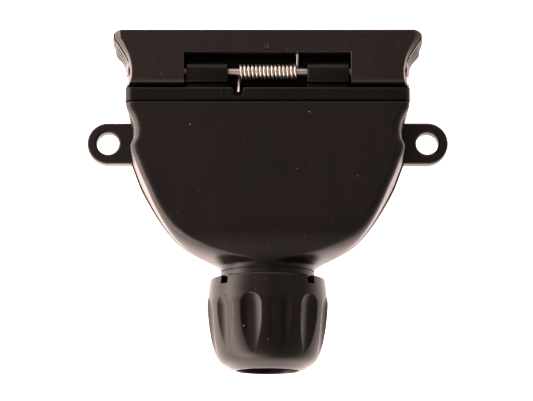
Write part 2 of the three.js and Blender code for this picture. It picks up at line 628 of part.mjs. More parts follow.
function fluteDepth(angle, y) {
  if (y > FLUTE_FRONT || y < FLUTE_FRONT - FLUTE_L) return 0;
  const halfWidth = FLUTE_W * table(FLUTE_LINE, (FLUTE_FRONT - y) / FLUTE_L);
  const offset = Math.abs(angle) * table(NUT_R, y);
  if (halfWidth < 0.05 || offset >= halfWidth) return 0;
  return halfWidth * halfWidth / (2 * FLUTE_TOOL_R) * (1 - (offset / halfWidth) ** 2);
}

function nutRing(y) {
  const step = 2 * Math.PI / FLUTES;
  return Array.from({ length: NUT_SEGMENTS }, (_, i) => {
    const angle = 2 * Math.PI * (i + NUT_SEGMENT_SHIFT) / NUT_SEGMENTS;
    const fromFlute = ((angle - FLUTE_START) % step + 1.5 * step) % step - 0.5 * step;
    const radius = table(NUT_R, y) - fluteDepth(fromFlute, y);
    return new THREE.Vector3(radius * Math.sin(angle), y, AXIS_Z + radius * Math.cos(angle));
  });
}

// Cutter for a notch in the nut's front rim.
function rimNotch(degrees) {
  const geometry = new THREE.BoxGeometry(2.4, 3.0, 2.6);
  geometry.translate(0, 0, 13.7);
  geometry.rotateY(radians(degrees));
  geometry.translate(0, -36.6, AXIS_Z);
  return solid(geometry);
}

const makeNut = () => cut(
  loft(NUT_STATIONS.map(nutRing)),
  turnedY(NUT_BORE, 0, AXIS_Z, 30),
  ...NOTCH_ANGLES.map(rimNotch));

// ---- grommet and clamp ring, [radius, y] ---------------------------------------------------
const GROMMET = [[5.2, -39.0], [7.9, -39.0], [8.3, -39.6], [8.3, -47.8], [10.5, -47.8],
  [10.5, -50.0], [5.2, -50.0], [5.2, -39.0]];
const RING_Y0 = -50.4;
const RING_Y1 = -53.0;
const CLAMP_RING = [[6.2, RING_Y0], [10.9, RING_Y0], [10.9, RING_Y1 + 0.4], [10.5, RING_Y1],
  [6.2, RING_Y1], [6.2, RING_Y0]];

// ---- materials -----------------------------------------------------------------------------
const finish = (settings) => () => new THREE.MeshStandardMaterial(settings);
const plastic = finish({ color: 0x2b2321, roughness: 0.42, metalness: 0 });
const rubber = finish({ color: 0x151413, roughness: 0.85, metalness: 0 });
const brass = finish({ color: 0xb8923f, roughness: 0.35, metalness: 1 });
const steel = finish({ color: 0xb9b2ac, roughness: 0.3, metalness: 1 });
const resin = finish({ color: 0x3a3431, roughness: 0.55, metalness: 0 });

// ---- assembly ------------------------------------------------------------------------------
function add(group, name, piece, material) {
  const { vertProperties, triVerts } = piece.getMesh();
  const geometry = new THREE.BufferGeometry();
  const positions = Float32Array.from(vertProperties);
  geometry.setAttribute('position', new THREE.BufferAttribute(positions, 3));
  geometry.setIndex(Array.from(triVerts));
  geometry.computeVertexNormals();
  const mesh = new THREE.Mesh(geometry, material());
  mesh.name = name;
  group.add(mesh);
}
// One numbered piece at each place.
function addEach(group, name, places, make, material) {
  places.forEach((place, i) => add(group, `${name}_${i + 1}`, make(place), material));
}

const socket = new THREE.Group();
const housing = new THREE.Group();
const cover = new THREE.Group();
const gland = new THREE.Group();
socket.add(housing, cover, gland);

add(housing, 'base', makeBase(), plastic);
add(housing, 'rear_shell', makeRearShell(), plastic);
add(housing, 'front_frame', makeFrame(), plastic);
add(housing, 'body_gasket', makeBodyGasket(), rubber);
add(housing, 'frame_gasket', makeFrameGasket(), rubber);
add(housing, 'terminal_block', makeBlock(), resin);
addEach(housing, 'contact', CONTACT_X, makeContact, brass);
addEach(housing, 'terminal_screw', CONTACT_X, makeTerminalScrew, steel);
addEach(housing, 'block_screw', BLOCK_SCREWS, makeBlockScrew, steel);
addEach(housing, 'base_screw', BASE_SCREWS, makeBaseScrew, steel);
add(housing, 'torsion_spring', makeSpring(), steel);

add(cover, 'lid', makeLid(), plastic);
add(cover, 'lid_seal', makeLidSeal(), rubber);
add(cover, 'hinge_pin', makeHingePin(), steel);

add(gland, 'gland_nut', makeNut(), plastic);
add(gland, 'gland_grommet', turnedY(GROMMET, 0, AXIS_Z, 24), rubber);
add(gland, 'clamp_ring', turnedY(CLAMP_RING, 0, AXIS_Z, 24), resin);

export default socket;
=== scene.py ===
# A seven-way connector housing with two mounting ears, a sprung lid and a cable gland.
# It lies on z = 0 with the mouth and lid facing +Y (front), the gland towards -Y (rear),
# and the body symmetric about x = 0. Shapes are drawn in millimetres and finished in metres.
from math import copysign, cos, pi, radians, sin

import bmesh
import bpy
import numpy as np
from mathutils import Matrix, Vector


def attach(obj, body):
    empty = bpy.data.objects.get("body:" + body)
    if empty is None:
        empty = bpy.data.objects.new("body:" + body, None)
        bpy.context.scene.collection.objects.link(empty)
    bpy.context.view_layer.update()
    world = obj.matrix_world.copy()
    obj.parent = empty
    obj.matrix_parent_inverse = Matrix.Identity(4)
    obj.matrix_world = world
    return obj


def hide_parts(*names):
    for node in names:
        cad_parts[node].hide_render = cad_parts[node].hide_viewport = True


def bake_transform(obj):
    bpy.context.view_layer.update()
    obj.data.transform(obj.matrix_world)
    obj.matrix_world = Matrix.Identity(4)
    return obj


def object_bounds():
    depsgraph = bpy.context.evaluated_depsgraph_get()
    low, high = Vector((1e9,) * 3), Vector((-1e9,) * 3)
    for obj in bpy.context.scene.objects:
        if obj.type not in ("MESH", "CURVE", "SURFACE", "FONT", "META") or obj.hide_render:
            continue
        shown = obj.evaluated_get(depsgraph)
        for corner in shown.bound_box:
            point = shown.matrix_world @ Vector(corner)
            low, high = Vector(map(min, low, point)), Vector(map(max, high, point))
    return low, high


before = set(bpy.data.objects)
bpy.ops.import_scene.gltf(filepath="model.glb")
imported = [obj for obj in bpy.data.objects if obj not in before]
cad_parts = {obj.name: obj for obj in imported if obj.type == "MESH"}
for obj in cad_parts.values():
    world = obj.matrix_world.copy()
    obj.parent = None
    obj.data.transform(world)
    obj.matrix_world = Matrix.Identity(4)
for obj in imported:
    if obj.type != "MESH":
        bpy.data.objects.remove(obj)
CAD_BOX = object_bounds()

MM = 0.001
SIDES = (-1, 1)

# Body. HALF names are half widths about x = 0.
BODY_H = 30.0
AXIS_Z = BODY_H / 2  # height of the gland axis
BASE_T = 4.3
BASE_REAR = -31.3
GAP = 0.3  # gasket thickness and clearance
SEAM_Y = 5.2  # front face of the rear shell
SPIGOT_HALF = 29.8
# Screws, [x, y]
FRONT_SCREWS = [(-27.55, -0.4), (27.55, -0.4)]
REAR_SCREWS = [(-16.5, -21.5), (16.5, -21.5)]
BASE_SCREWS = FRONT_SCREWS + REAR_SCREWS
BLOCK_SCREWS = [(-22.2, -10.0), (22.2, -10.0)]
# Hinge pin
PIN_Y = 13.15
PIN_Z = 27.0
PIN_R = 0.95
PIN_L = 65.0
# Contacts
WAYS = 7
PITCH = 6.6
CONTACT_X = [(i - (WAYS - 1) / 2) * PITCH for i in range(WAYS)]
CONTACT_Z = 13.7
CLAMP_Y = -9.8  # line of the terminal screws
BLOCK_HALF = 25.0


# ---------------------------------------------------------------- outlines and curves
def arc(cx, cy, radius, degrees):
    return [(cx + radius * cos(radians(d)), cy + radius * sin(radians(d))) for d in degrees]


def quarter(cx, cy, radius, start, n):
    return arc(cx, cy, radius, [start + 90 * i / n for i in range(n + 1)])


def corners(half_x, half_y):
    return [(-half_x, -half_y), (half_x, -half_y), (half_x, half_y), (-half_x, half_y)]


def rounded(half, z0, z1, r_top, r_foot, n):
    """Rectangle about x = 0 with its own corner radius at z1 (r_top) and at z0 (r_foot)."""
    return (quarter(half - r_top, z1 - r_top, r_top, 0, n)
            + quarter(-half + r_top, z1 - r_top, r_top, 90, n)
            + quarter(-half + r_foot, z0 + r_foot, r_foot, 180, n)
            + quarter(half - r_foot, z0 + r_foot, r_foot, 270, n))


def inset(outline, distance):
    """Moves a closed outline inwards along its corner normals."""
    p = np.asarray(outline, float)
    area = 0.5 * np.sum(p[:, 0] * np.roll(p[:, 1], -1) - np.roll(p[:, 0], -1) * p[:, 1])
    turn = 1 if area > 0 else -1
    edges = np.roll(p, -1, 0) - p
    edges /= np.maximum(np.linalg.norm(edges, axis=1, keepdims=True), 1e-9)
    normals = np.stack([-edges[:, 1], edges[:, 0]], 1) * turn
    mitre = normals + np.roll(normals, 1, 0)
    mitre /= np.maximum((np.sum(mitre * mitre, 1, keepdims=True) / 2), 0.35)
    return p + mitre * distance


def ease(edge, n):
    """Steps round a rim of radius edge: (inset, distance from the end face)."""
    turns = [pi / 2 * i / n for i in range(n + 1)]
    return [(edge * (1 - sin(t)), edge * (1 - cos(t))) for t in turns]


def rims(outline, start, end, edge, n):
    if edge <= 0:
        return [(outline, start), (outline, end)]
    steps = ease(edge, n)
    return ([(inset(outline, d), start + h) for d, h in steps]
            + [(inset(outline, d), end - h) for d, h in reversed(steps)])


def curve(rows, x):
    """Value at x on a smooth curve through [x, value] rows, without overshoot."""
    last = len(rows) - 1
    if x <= rows[0][0]:
        return rows[0][1]
    if x >= rows[last][0]:
        return rows[last][1]
    i = 0
    while rows[i + 1][0] < x:
        i += 1

    def chord(k):
        return (rows[k + 1][1] - rows[k][1]) / (rows[k + 1][0] - rows[k][0])

    def slope(k):
        if k in (0, last):
            return chord(min(k, last - 1))
        before, after = chord(k - 1), chord(k)
        return 0 if before * after <= 0 else 2 * before * after / (before + after)

    h = rows[i + 1][0] - rows[i][0]
    t = (x - rows[i][0]) / h
    return ((2 * t**3 - 3 * t**2 + 1) * rows[i][1] + (t**3 - 2 * t**2 + t) * h * slope(i)
            + (-2 * t**3 + 3 * t**2) * rows[i + 1][1] + (t**3 - t**2) * h * slope(i + 1))


def smooth(start, end, x):
    t = min(1.0, max(0.0, (x - start) / (end - start)))
    return t * t * (3 - 2 * t)


# ---------------------------------------------------------------- solids
def weld(bm, gap, sliver):
    bmesh.ops.remove_doubles(bm, verts=bm.verts, dist=gap)
    bmesh.ops.dissolve_degenerate(bm, edges=bm.edges, dist=sliver)


def link(mesh):
    ob = bpy.data.objects.new("tmp", mesh)
    bpy.context.scene.collection.objects.link(ob)
    return ob


def solid(verts, faces):
    mesh = bpy.data.meshes.new("tmp")
    mesh.from_pydata([tuple(map(float, v)) for v in verts], [],
                     [tuple(map(int, f)) for f in faces])
    bm = bmesh.new()
    bm.from_mesh(mesh)
    weld(bm, 1e-5, 1e-6)
    bmesh.ops.recalc_face_normals(bm, faces=bm.faces)
    if bm.calc_volume(signed=True) < 0:
        bmesh.ops.reverse_faces(bm, faces=bm.faces)
    bm.to_mesh(mesh)
    bm.free()
    return link(mesh)


def loft(rings, closed=False):
    """Skin over rings of equal length; capped at both ends, or joined end to end when closed."""
    rings = np.asarray(rings, float)
    m, n, _ = rings.shape
    idx = np.arange(m * n).reshape(m, n)
    faces = []
    for j in range(m if closed else m - 1):
        a, b = idx[j], idx[(j + 1) % m]
        for i in range(n):
            k = (i + 1) % n
            faces.append((a[i], a[k], b[k], b[i]))
    if not closed:
        faces += [tuple(idx[0][::-1]), tuple(idx[-1])]
    return solid(rings.reshape(-1, 3), faces)


def box(x0, x1, y0, y1, z0, z1):
    verts = [(x, y, z) for z in (z0, z1) for x, y in ((x0, y0), (x1, y0), (x1, y1), (x0, y1))]
    return solid(verts, [(0, 3, 2, 1), (4, 5, 6, 7), (0, 1, 5, 4),
                         (1, 2, 6, 5), (2, 3, 7, 6), (3, 0, 4, 7)])


def plate(outline, y0, y1, edge=0.0):
    """[x, z] outline extruded along Y, with rounded rims when edge is given."""
    return loft([[(x, y, z) for x, z in ring] for ring, y in rims(outline, y0, y1, edge, 4)])


def slab(outline, z0, z1, edge=0.0, n=4):
    """[x, y] outline extruded along Z."""
    return loft([[(x, y, z) for x, y in ring] for ring, z in rims(outline, z0, z1, edge, n)])


def side(outline, x0, x1, edge=0.0, n=3):
    """[y, z] outline extruded along X."""
    return loft([[(x, y, z) for y, z in ring] for ring, x in rims(outline, x0, x1, edge, n)])


def flared(outline, levels, x_mid=0.0):
    """Solid stacked up Z: outline(grow) is the [x, y] section at each (grow, z) level."""
    return loft([[(x + x_mid, y, z) for x, y in outline(grow)] for grow, z in levels])


def lathe(profile, seg, place):
    """Turns [radius, height] pairs: from axis to axis, or a closed ring when off the axis."""
    verts, rows = [], []
    for r, h in profile:
        if r < 1e-9:
            rows.append([len(verts)] * seg)
            verts.append(place(0, h, 0))
        else:
            rows.append(list(range(len(verts), len(verts) + seg)))
            verts += [place(r, h, 2 * pi * i / seg) for i in range(seg)]
    faces = []
    m = len(rows)
    for j in range(m if profile[0][0] > 0 else m - 1):
        a, b = rows[j], rows[(j + 1) % m]
        for i in range(seg):
            k = (i + 1) % seg
            face = list(dict.fromkeys((a[i], a[k], b[k], b[i])))
            if len(face) > 2:
                faces.append(face)
    return solid(verts, faces)


def turned_x(profile):
    """Turned about the hinge axis."""
    return lathe(profile, 48, lambda r, h, a: (h, PIN_Y + r * cos(a), PIN_Z + r * sin(a)))


def turned_y(profile, seg=96, x=0, z=AXIS_Z):
    """Turned about a line along Y, the gland axis unless placed elsewhere."""
    return lathe(profile, seg, lambda r, h, a: (x + r * sin(a), h, z + r * cos(a)))


def turned_z(profile, x, y, seg):
    return lathe(profile, seg, lambda r, h, a: (x + r * cos(a), y + r * sin(a), h))


def rod(radius, start, end):
    """Turning profile of a plain cylinder."""
    return [(0, start), (radius, start), (radius, end), (0, end)]


def carve(ob, steps):
    """Unites (+), cuts (-) and intersects (*) solids in order; the operands are used up."""
    for kind, other in steps:
        mod = ob.modifiers.new("b", "BOOLEAN")
        mod.operation = {"+": "UNION", "-": "DIFFERENCE", "*": "INTERSECT"}[kind]
        mod.solver = "MANIFOLD"
        mod.object = other
    graph = bpy.context.evaluated_depsgraph_get()
    result = link(bpy.data.meshes.new_from_object(ob.evaluated_get(graph), depsgraph=graph))
    for used in [ob] + [other for _, other in steps]:
        mesh = used.data
        bpy.data.objects.remove(used)
        if mesh.users == 0:
            bpy.data.meshes.remove(mesh)
    return result


def dress(name, ob, material, angle=32):
    """Welds, scales to metres, shades and names a finished solid."""
    mesh = ob.data
    bm = bmesh.new()
    bm.from_mesh(mesh)
    weld(bm, 2e-4, 1e-4)
    bm.to_mesh(mesh)
    bm.free()
    mesh.transform(Matrix.Scale(MM, 4))
    mesh.polygons.foreach_set("use_smooth", [True] * len(mesh.polygons))
    mesh.set_sharp_from_angle(angle=radians(angle))
    # large faces square to an axis are shaded flat
    for face in mesh.polygons:
        if face.area > 3.0 * MM * MM and max(abs(c) for c in face.normal) > 0.99999:
            face.use_smooth = False
    mesh.materials.clear()
    mesh.materials.append(material)
    ob.name = name
    mesh.name = name
    return ob


def finish(name, ob, body, material, replaced, angle=32):
    dress(name, ob, material, angle)
    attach(ob, body)
    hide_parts(replaced)


# ---------------------------------------------------------------- shader nodes
class Nodes:
    """Short calls on a node tree; inputs may be numbers, colours or sockets."""

    def __init__(self, tree):
        tree.nodes.clear()
        self.tree = tree

    def add(self, kind):
        return self.tree.nodes.new("ShaderNode" + kind)

    def feed(self, value, socket):
        if isinstance(value, bpy.types.NodeSocket):
            self.tree.links.new(value, socket)
        else:
            socket.default_value = (*value, 1) if isinstance(value, tuple) else value

    def noise(self, coords, scale, detail=3.0, rough=0.5, distort=0.0):
        node = self.add("TexNoise")
        node.inputs["Scale"].default_value = scale
        node.inputs["Detail"].default_value = detail
        node.inputs["Roughness"].default_value = rough
        node.inputs["Distortion"].default_value = distort
        self.feed(coords, node.inputs["Vector"])
        return node.outputs["Fac"]

    def ramp(self, factor, stops):
        """stops: (position, grey or colour)."""
        node = self.add("ValToRGB")
        elements = node.color_ramp.elements
        while len(elements) < len(stops):
            elements.new(0.5)
        for element, (position, c) in zip(elements, stops):
            element.position = position
            element.color = (*c, 1) if isinstance(c, tuple) else (c, c, c, 1)
        self.feed(factor, node.inputs[0])
        return node.outputs[0]

    def fade(self, factor, low, high):
        """0 below low, 1 above high."""
        return self.ramp(factor, [(low, 0.0), (high, 1.0)])

    def math(self, operation, a, b=None, clamp=False):
        node = self.add("Math")
        node.operation = operation
        node.use_clamp = clamp
        self.feed(a, node.inputs[0])
        if b is not None:
            self.feed(b, node.inputs[1])
        return node.outputs[0]

    def plus(self, a, b, clamp=False):
        return self.math("ADD", a, b, clamp)

    def times(self, a, b):
        return self.math("MULTIPLY", a, b)

    def mix(self, factor, a, b):
        node = self.add("Mix")
        node.data_type = "RGBA"
        # inputs 6 and 7 and output 2 are the node's colour sockets
        self.feed(factor, node.inputs[0])
        self.feed(a, node.inputs[6])
        self.feed(b, node.inputs[7])
        return node.outputs[2]

    def layer(self, under, mask, amount, over):
        return self.mix(self.times(mask, amount), under, over)

    def stretch(self, coords, scale, turn=(0, 0, 0)):
        node = self.add("Mapping")
        node.inputs["Scale"].default_value = scale
        node.inputs["Rotation"].default_value = turn
        self.feed(coords, node.inputs["Vector"])
        return node.outputs[0]

    def specks(self, coords, scale, share, size):
        """1 on round specks of varied size, on a share of the cells."""
        cells = self.add("TexVoronoi")
        cells.inputs["Scale"].default_value = scale
        self.feed(coords, cells.inputs["Vector"])
        parts = self.add("SeparateColor")
        self.feed(cells.outputs["Color"], parts.inputs[0])
        chosen = self.math("LESS_THAN", parts.outputs[0], share)
        reach = self.times(parts.outputs[1], size)
        near = self.math("LESS_THAN", cells.outputs["Distance"], reach)
        return self.times(chosen, near)

    def bump(self, shader, layers):
        """layers: (height, distance in metres, strength), chained."""
        last = None
        for height, distance, strength in layers:
            node = self.add("Bump")
            node.inputs["Distance"].default_value = distance
            node.inputs["Strength"].default_value = strength
            self.feed(height, node.inputs["Height"])
            if last is not None:
                self.feed(last, node.inputs["Normal"])
            last = node.outputs[0]
        self.feed(last, shader.inputs["Normal"])


def new_material(name):
    material = bpy.data.materials.new(name)
    material.use_nodes = True
    n = Nodes(material.node_tree)
    output = n.add("OutputMaterial")
    shader = n.add("BsdfPrincipled")
    n.feed(shader.outputs[0], output.inputs[0])
    return material, n, shader, n.add("TexCoord").outputs["Object"]


def tint(colour, factor):
    return tuple(c * factor for c in colour)


# ---------------------------------------------------------------- materials
DUST = (0.30, 0.25, 0.23)
RUBBER_DUST = (0.06, 0.056, 0.052)


def plastic(name, base, rough, dust=1.0, ior=1.5):
    material, n, shader, coords = new_material(name)
    broad = n.noise(coords, scale=45.0, detail=3, rough=0.55)
    mid = n.noise(coords, scale=420.0, detail=4, rough=0.6)
    fine = n.noise(coords, scale=5200.0, detail=2, rough=0.6)
    smear = n.noise(n.stretch(coords, scale=(260, 60, 200), turn=(0.2, 0.1, 0.6)),
                    scale=1.0, detail=4, rough=0.6, distort=0.4)
    col = n.mix(n.fade(broad, low=0.3, high=0.7), tint(base, 0.80), tint(base, 1.28))
    col = n.layer(col, n.fade(mid, low=0.45, high=0.75), amount=0.22, over=tint(base, 1.7))
    # wear on exposed edges
    edge = n.fade(n.add("NewGeometry").outputs["Pointiness"], low=0.53, high=0.62)
    worn = n.times(edge, n.fade(mid, low=0.42, high=0.62))
    col = n.layer(col, worn, amount=0.28, over=tint(base, 3.2))
    # dust in two sizes
    coarse_dust = n.specks(coords, scale=700.0, share=0.045 * dust, size=0.16)
    fine_dust = n.specks(coords, scale=1700.0, share=0.03 * dust, size=0.22)
    dots = n.math("MAXIMUM", coarse_dust, n.times(fine_dust, 0.6))
    col = n.layer(col, dots, amount=0.62, over=DUST)
    # hairline scratches in three directions, gathered in patches
    scratch = None
    for turn in ((0.0, 0.0, 0.35), (0.0, 0.0, -1.1), (0.3, 0.2, 1.9)):
        streaks = n.noise(n.stretch(coords, scale=(2600, 90, 900), turn=turn),
                          scale=1.0, detail=1, rough=0.4)
        line = n.fade(streaks, low=0.735, high=0.765)
        scratch = line if scratch is None else n.math("MAXIMUM", scratch, line)
    scratch = n.times(scratch, n.fade(broad, low=0.48, high=0.6))
    col = n.layer(col, scratch, amount=0.35, over=tint(base, 4))
    n.feed(col, shader.inputs["Base Color"])
    # smears, mottling and dust roughen the gloss
    gloss = n.plus(rough - 0.06, n.times(smear, 0.12))
    gloss = n.plus(gloss, n.times(mid, 0.06))
    gloss = n.plus(gloss, n.times(dots, 0.3), clamp=True)
    n.feed(gloss, shader.inputs["Roughness"])
    shader.inputs["IOR"].default_value = ior
    n.bump(shader, [(fine, 0.000012, 0.55), (mid, 0.00003, 0.35),
                    (scratch, 0.00001, 0.4), (dots, 0.00003, 0.5)])
    return material


def rubber(name, base, rough):
    material, n, shader, coords = new_material(name)
    broad = n.noise(coords, scale=120.0, detail=3)
    fine = n.noise(coords, scale=3800.0, detail=3, rough=0.7)
    dusty = n.noise(coords, scale=900.0, detail=5, rough=0.65)
    col = n.mix(n.fade(broad, low=0.3, high=0.7), tint(base, 0.75), tint(base, 1.5))
    col = n.layer(col, n.fade(dusty, low=0.5, high=0.8), amount=0.35, over=RUBBER_DUST)
    n.feed(col, shader.inputs["Base Color"])
    gloss = n.plus(rough - 0.05, n.times(dusty, 0.15), clamp=True)
    n.feed(gloss, shader.inputs["Roughness"])
    n.bump(shader, [(fine, 0.00003, 0.6), (dusty, 0.00003, 0.4)])
    return material


def metal(name, base, rough, amount, along=(1, 1, 1), tarnish=(0.3, 0.22, 0.14)):
    """along stretches the brushed lines; amount is how far tarnish covers its patches."""
    material, n, shader, coords = new_material(name)
    shader.inputs["Metallic"].default_value = 1.0
    lines = n.noise(n.stretch(coords, scale=[900 * a for a in along]),
                    scale=4.0, detail=3, rough=0.6)
    patch = n.noise(coords, scale=380.0, detail=4, rough=0.6)
    pits = n.specks(coords, scale=2600.0, share=0.12, size=0.25)
    col = n.mix(n.fade(lines, low=0.3, high=0.7), tint(base, 0.88), tint(base, 1.08))
    col = n.layer(col, n.fade(patch, low=0.5, high=0.78), amount=amount, over=tarnish)
    col = n.layer(col, pits, amount=0.4, over=tint(base, 0.4))
    n.feed(col, shader.inputs["Base Color"])
    gloss = n.plus(rough - 0.05, n.times(lines, 0.12))
    gloss = n.plus(gloss, n.times(patch, 0.1), clamp=True)
    n.feed(gloss, shader.inputs["Roughness"])
    n.bump(shader, [(lines, 0.000008, 0.5), (patch, 0.00001, 0.3)])
    return material


SHELL = plastic("moulded_black_shell", (0.0040, 0.0024, 0.0019), rough=0.33, ior=1.42)
LID = plastic("moulded_black_lid", (0.0068, 0.0040, 0.0034), rough=0.33, dust=1.3)
BASE = plastic("moulded_black_base", (0.0050, 0.0030, 0.0024), rough=0.36, ior=1.45)
# painted shade: the frame's black is darker and, with its low IOR, reflects less than the
# shell's, standing in for the lid's shadow over the flange
FRAME = plastic("moulded_black_frame_painted_shade", (0.0030, 0.0019, 0.0016), rough=0.36, dust=1.2, ior=1.31)
NUT = plastic("moulded_black_nut", (0.0034, 0.0020, 0.0017), rough=0.28, dust=0.8, ior=1.40)
RESIN = plastic("insulating_resin", (0.040, 0.036, 0.033), rough=0.5, dust=0.3)
CLAMP = plastic("clamp_resin", (0.030, 0.028, 0.027), rough=0.5, dust=0.3)
RUBBER = rubber("seal_rubber", (0.014, 0.013, 0.013), rough=0.78)
GROMMET = rubber("grommet_rubber", (0.017, 0.016, 0.015), rough=0.7)
STEEL = metal("bright_pin_steel", (0.78, 0.74, 0.69), rough=0.34, amount=0.25, along=(0.2, 2, 2))
WIRE = metal("spring_wire_steel", (0.80, 0.75, 0.69), rough=0.32, amount=0.3)
ZINC = metal("zinc_screw_steel", (0.60, 0.58, 0.52), rough=0.32, amount=0.35,
             tarnish=(0.35, 0.30, 0.18))
BRASS = metal("turned_brass", (0.70, 0.50, 0.20), rough=0.28, amount=0.4, along=(3, 0.4, 3),
              tarnish=(0.25, 0.14, 0.05))

# ---------------------------------------------------------------- rear shell
WALL = 2.4
NECK_R = 11.5
NECK_END = -47.5
THREAD_R = 11.4
THREAD_DEPTH = 0.5
THREAD_PITCH = 2.0
BORE_R = 8.6
PILOT = rod(1.6, 0, 15)  # hole for a base screw
# [y, half width] near the top of the wall
TOP_HALF = [
    (-40, 11.4), (-33.9, 11.4), (-33.13, 11.75), (-32.5, 12.9), (-31.9, 14.9), (-31.2, 16.8),
    (-29.76, 19.4), (-27.09, 22.5), (-22.63, 25.6), (-18.15, 27.9), (-15.7, 28.95),
    (-11.7, 30.75), (-8.6, 31.95), (-6.6, 32.75), (-5.4, 32.95), (-4.5, 32.75), (-3.3, 32.15),
    (-1.6, 31.95), (0, 32.15), (1.7, 32.75), (3.3, 33.7), (4.3, 34.15), (6, 34.3)]
# [y, half width] at its foot, which stands out at the sides and leans in at the rear
FOOT_HALF = [
    (-40, 11.4), (-31.2, 11.4), (-30.43, 11.75), (-29.8, 12.9), (-29.2, 15.0), (-28.5, 17.0),
    (-27.06, 19.7), (-24.39, 22.95), (-19.93, 26.5), (-15.45, 29.3), (-11.5, 31.4),
    (-7.1, 33.1), (-4.6, 34.0), (-2.8, 34.4), (-1.2, 34.3), (0.4, 33.75), (1.8, 33.45),
    (3.2, 33.6), (4.3, 34.2), (6, 34.4)]
# [y, height of the top]
BELL_TOP = [
    (-40, 26.4), (-34.1, 26.4), (-33.4, 26.55), (-32.4, 26.95), (-31, 27.6), (-29.5, 28.35),
    (-28, 29.05), (-26.5, 29.6), (-25, 29.9), (-23, 30), (6, 30)]
# [y, radius of the top corners]
BELL_CORNER = [
    (-40, 11.2), (-33.9, 11.2), (-32.4, 11.0), (-31.5, 9.5), (-30.5, 7.6), (-29, 5.6),
    (-27, 4.0), (-24, 2.9), (-20, 2.3), (-15, 2.1), (6, 2.1)]
# [y, radius] of the round hub where the neck meets the bell
HUB = [(-34.15, 11.35), (-33.4, 11.47), (-32.4, 11.85), (-31.0, 12.5), (-29.5, 13.2),
       (-28.0, 13.8)]


def leaning(top_half, foot_half, z0, z1, r_top, r_foot, n):
    """Rounded section whose half width runs from top_half to foot_half."""
    points = []
    for x, z in rounded(top_half, z0, z1, r_top, r_foot, n):
        drop = min(1.0, max(0.0, (z1 - r_top - z) / (z1 - r_top - z0)))
        lean = (top_half - foot_half) * drop * min(1.0, abs(x) / (top_half * 0.6))
        points.append((x - copysign(1, x) * lean, z))
    return points


def bell_ring(y, shrink=0.0, at=None):
    """Bell section for station y, placed at another y when at is given."""
    half = curve(TOP_HALF, y) - shrink
    top = curve(BELL_TOP, y) - shrink
    bottom = BODY_H - curve(BELL_TOP, y) + shrink
    r_top = min(curve(BELL_CORNER, y), half * 0.98, (2 * top - BODY_H) * 0.49)
    r_foot = 0.6 if y > -31.4 else min(0.6 + (-31.4 - y) / 2.2 * 8.4, 9.0, half * 0.9)
    section = leaning(half, curve(FOOT_HALF, y) - shrink, bottom, top, r_top, r_foot, 14)
    return [(x, y if at is None else at, z) for x, z in section]


def bell_plan(inward, y0, y1, step=0.6):
    """Plan line of the bell at its foot, moved inwards."""
    stations = np.linspace(y0, y1, max(2, int(abs(y1 - y0) / step)))
    right = [(curve(FOOT_HALF, y) - inward, y) for y in stations]
    return right + [(-x, y) for x, y in reversed(right)]


def bell():
    stations = [*np.arange(4.6, -26, -0.55), *np.arange(-26, -31, -0.22),
                *np.arange(-31, -34.12, -0.1)]
    rim = [bell_ring(SEAM_Y, d, at=SEAM_Y - h) for d, h in ease(0.12, 4)]
    return loft(rim + [bell_ring(y) for y in stations])


def thread_ring(y, n=96):
    """Section of the neck thread: a trapezoid ridge, faded at both ends."""
    fade = smooth(-37.2, -38.2, y) * smooth(NECK_END + 0.2, NECK_END + 1.4, y)
    points = []
    for i in range(n):
        a = 2 * pi * i / n
        phase = (y / THREAD_PITCH + a / (2 * pi)) % 1.0
        ridge = min(1.0, max(0.0, (abs(phase - 0.5) * 2 - 0.28) / 0.34))
        r = THREAD_R - THREAD_DEPTH + THREAD_DEPTH * ridge * fade
        if y < NECK_END + 0.5:
            r -= (NECK_END + 0.5 - y) * 0.8
        points.append((r * sin(a), y, AXIS_Z + r * cos(a)))
    return points


def cavity_ring(y):
    def room(half):
        # the wall thins at the waist to clear the frame's spigot
        return max(half - WALL, SPIGOT_HALF + 0.4) if y > -4.2 else half - WALL

    station = min(y, 5)
    top = curve(BELL_TOP, y) - WALL - (0.35 * (-24 - y) if y < -24 else 0)
    section = leaning(room(curve(TOP_HALF, station)), room(curve(FOOT_HALF, station)),
                      -3, top, 1.6, 0.5, 6)
    return [(x, y, z) for x, z in section]


def rear_shell():
    root_r = THREAD_R - THREAD_DEPTH
    neck = turned_y([
        (0, -33.6), (NECK_R - 0.35, -33.6), (NECK_R - 0.35, -34.28), (NECK_R - 0.1, -34.32),
        (NECK_R, -34.45), (NECK_R, -36.0), (THREAD_R - 0.3, -36.25), (root_r, -36.4),
        (root_r, -36.8), (0, -36.8)])
    thread = loft([thread_ring(y) for y in [*np.arange(-36.2, NECK_END - 0.01, -0.19), NECK_END]])
    cavity = loft([cavity_ring(y) for y in [6.5, *np.arange(5, -28.3, -0.9)]])
    hub = turned_y([(0, -34.15)] + [(curve(HUB, y), y) for y in np.linspace(-34.15, -28.0, 24)]
                   + [(0, -28.0)], 160)
    steps = [("+", neck), ("+", hub), ("+", thread), ("-", cavity)]
    steps += [("+", turned_z(rod(3.3, BASE_T + GAP, 28.5), x, y, 40)) for x, y in REAR_SCREWS]
    steps += [("-", box(-60, 60, BASE_REAR - GAP, 20, -5, BASE_T + GAP)),
              ("-", turned_y(rod(7, -39, -20), 72)),
              ("-", turned_y(rod(BORE_R, -60, -38.5), 72))]
    steps += [("-", turned_z(PILOT, x, y, 32)) for x, y in REAR_SCREWS]
    finish("rear_shell_moulding", carve(bell(), steps), "housing", SHELL, "rear_shell")


# ---------------------------------------------------------------- base with ears, gaskets
EAR_X = 40.0
EAR_R = 5.2
EAR_HOLE_R = 2.8
FLANGE_REAR = 5.7  # rear face of the front frame's flange


def ear_line(s):
    tip = arc(EAR_X, 0, EAR_R, np.linspace(90, -90, 49))
    return [(s * 27.0, -EAR_R), (s * 27.0, EAR_R)] + [(s * x, y) for x, y in tip]


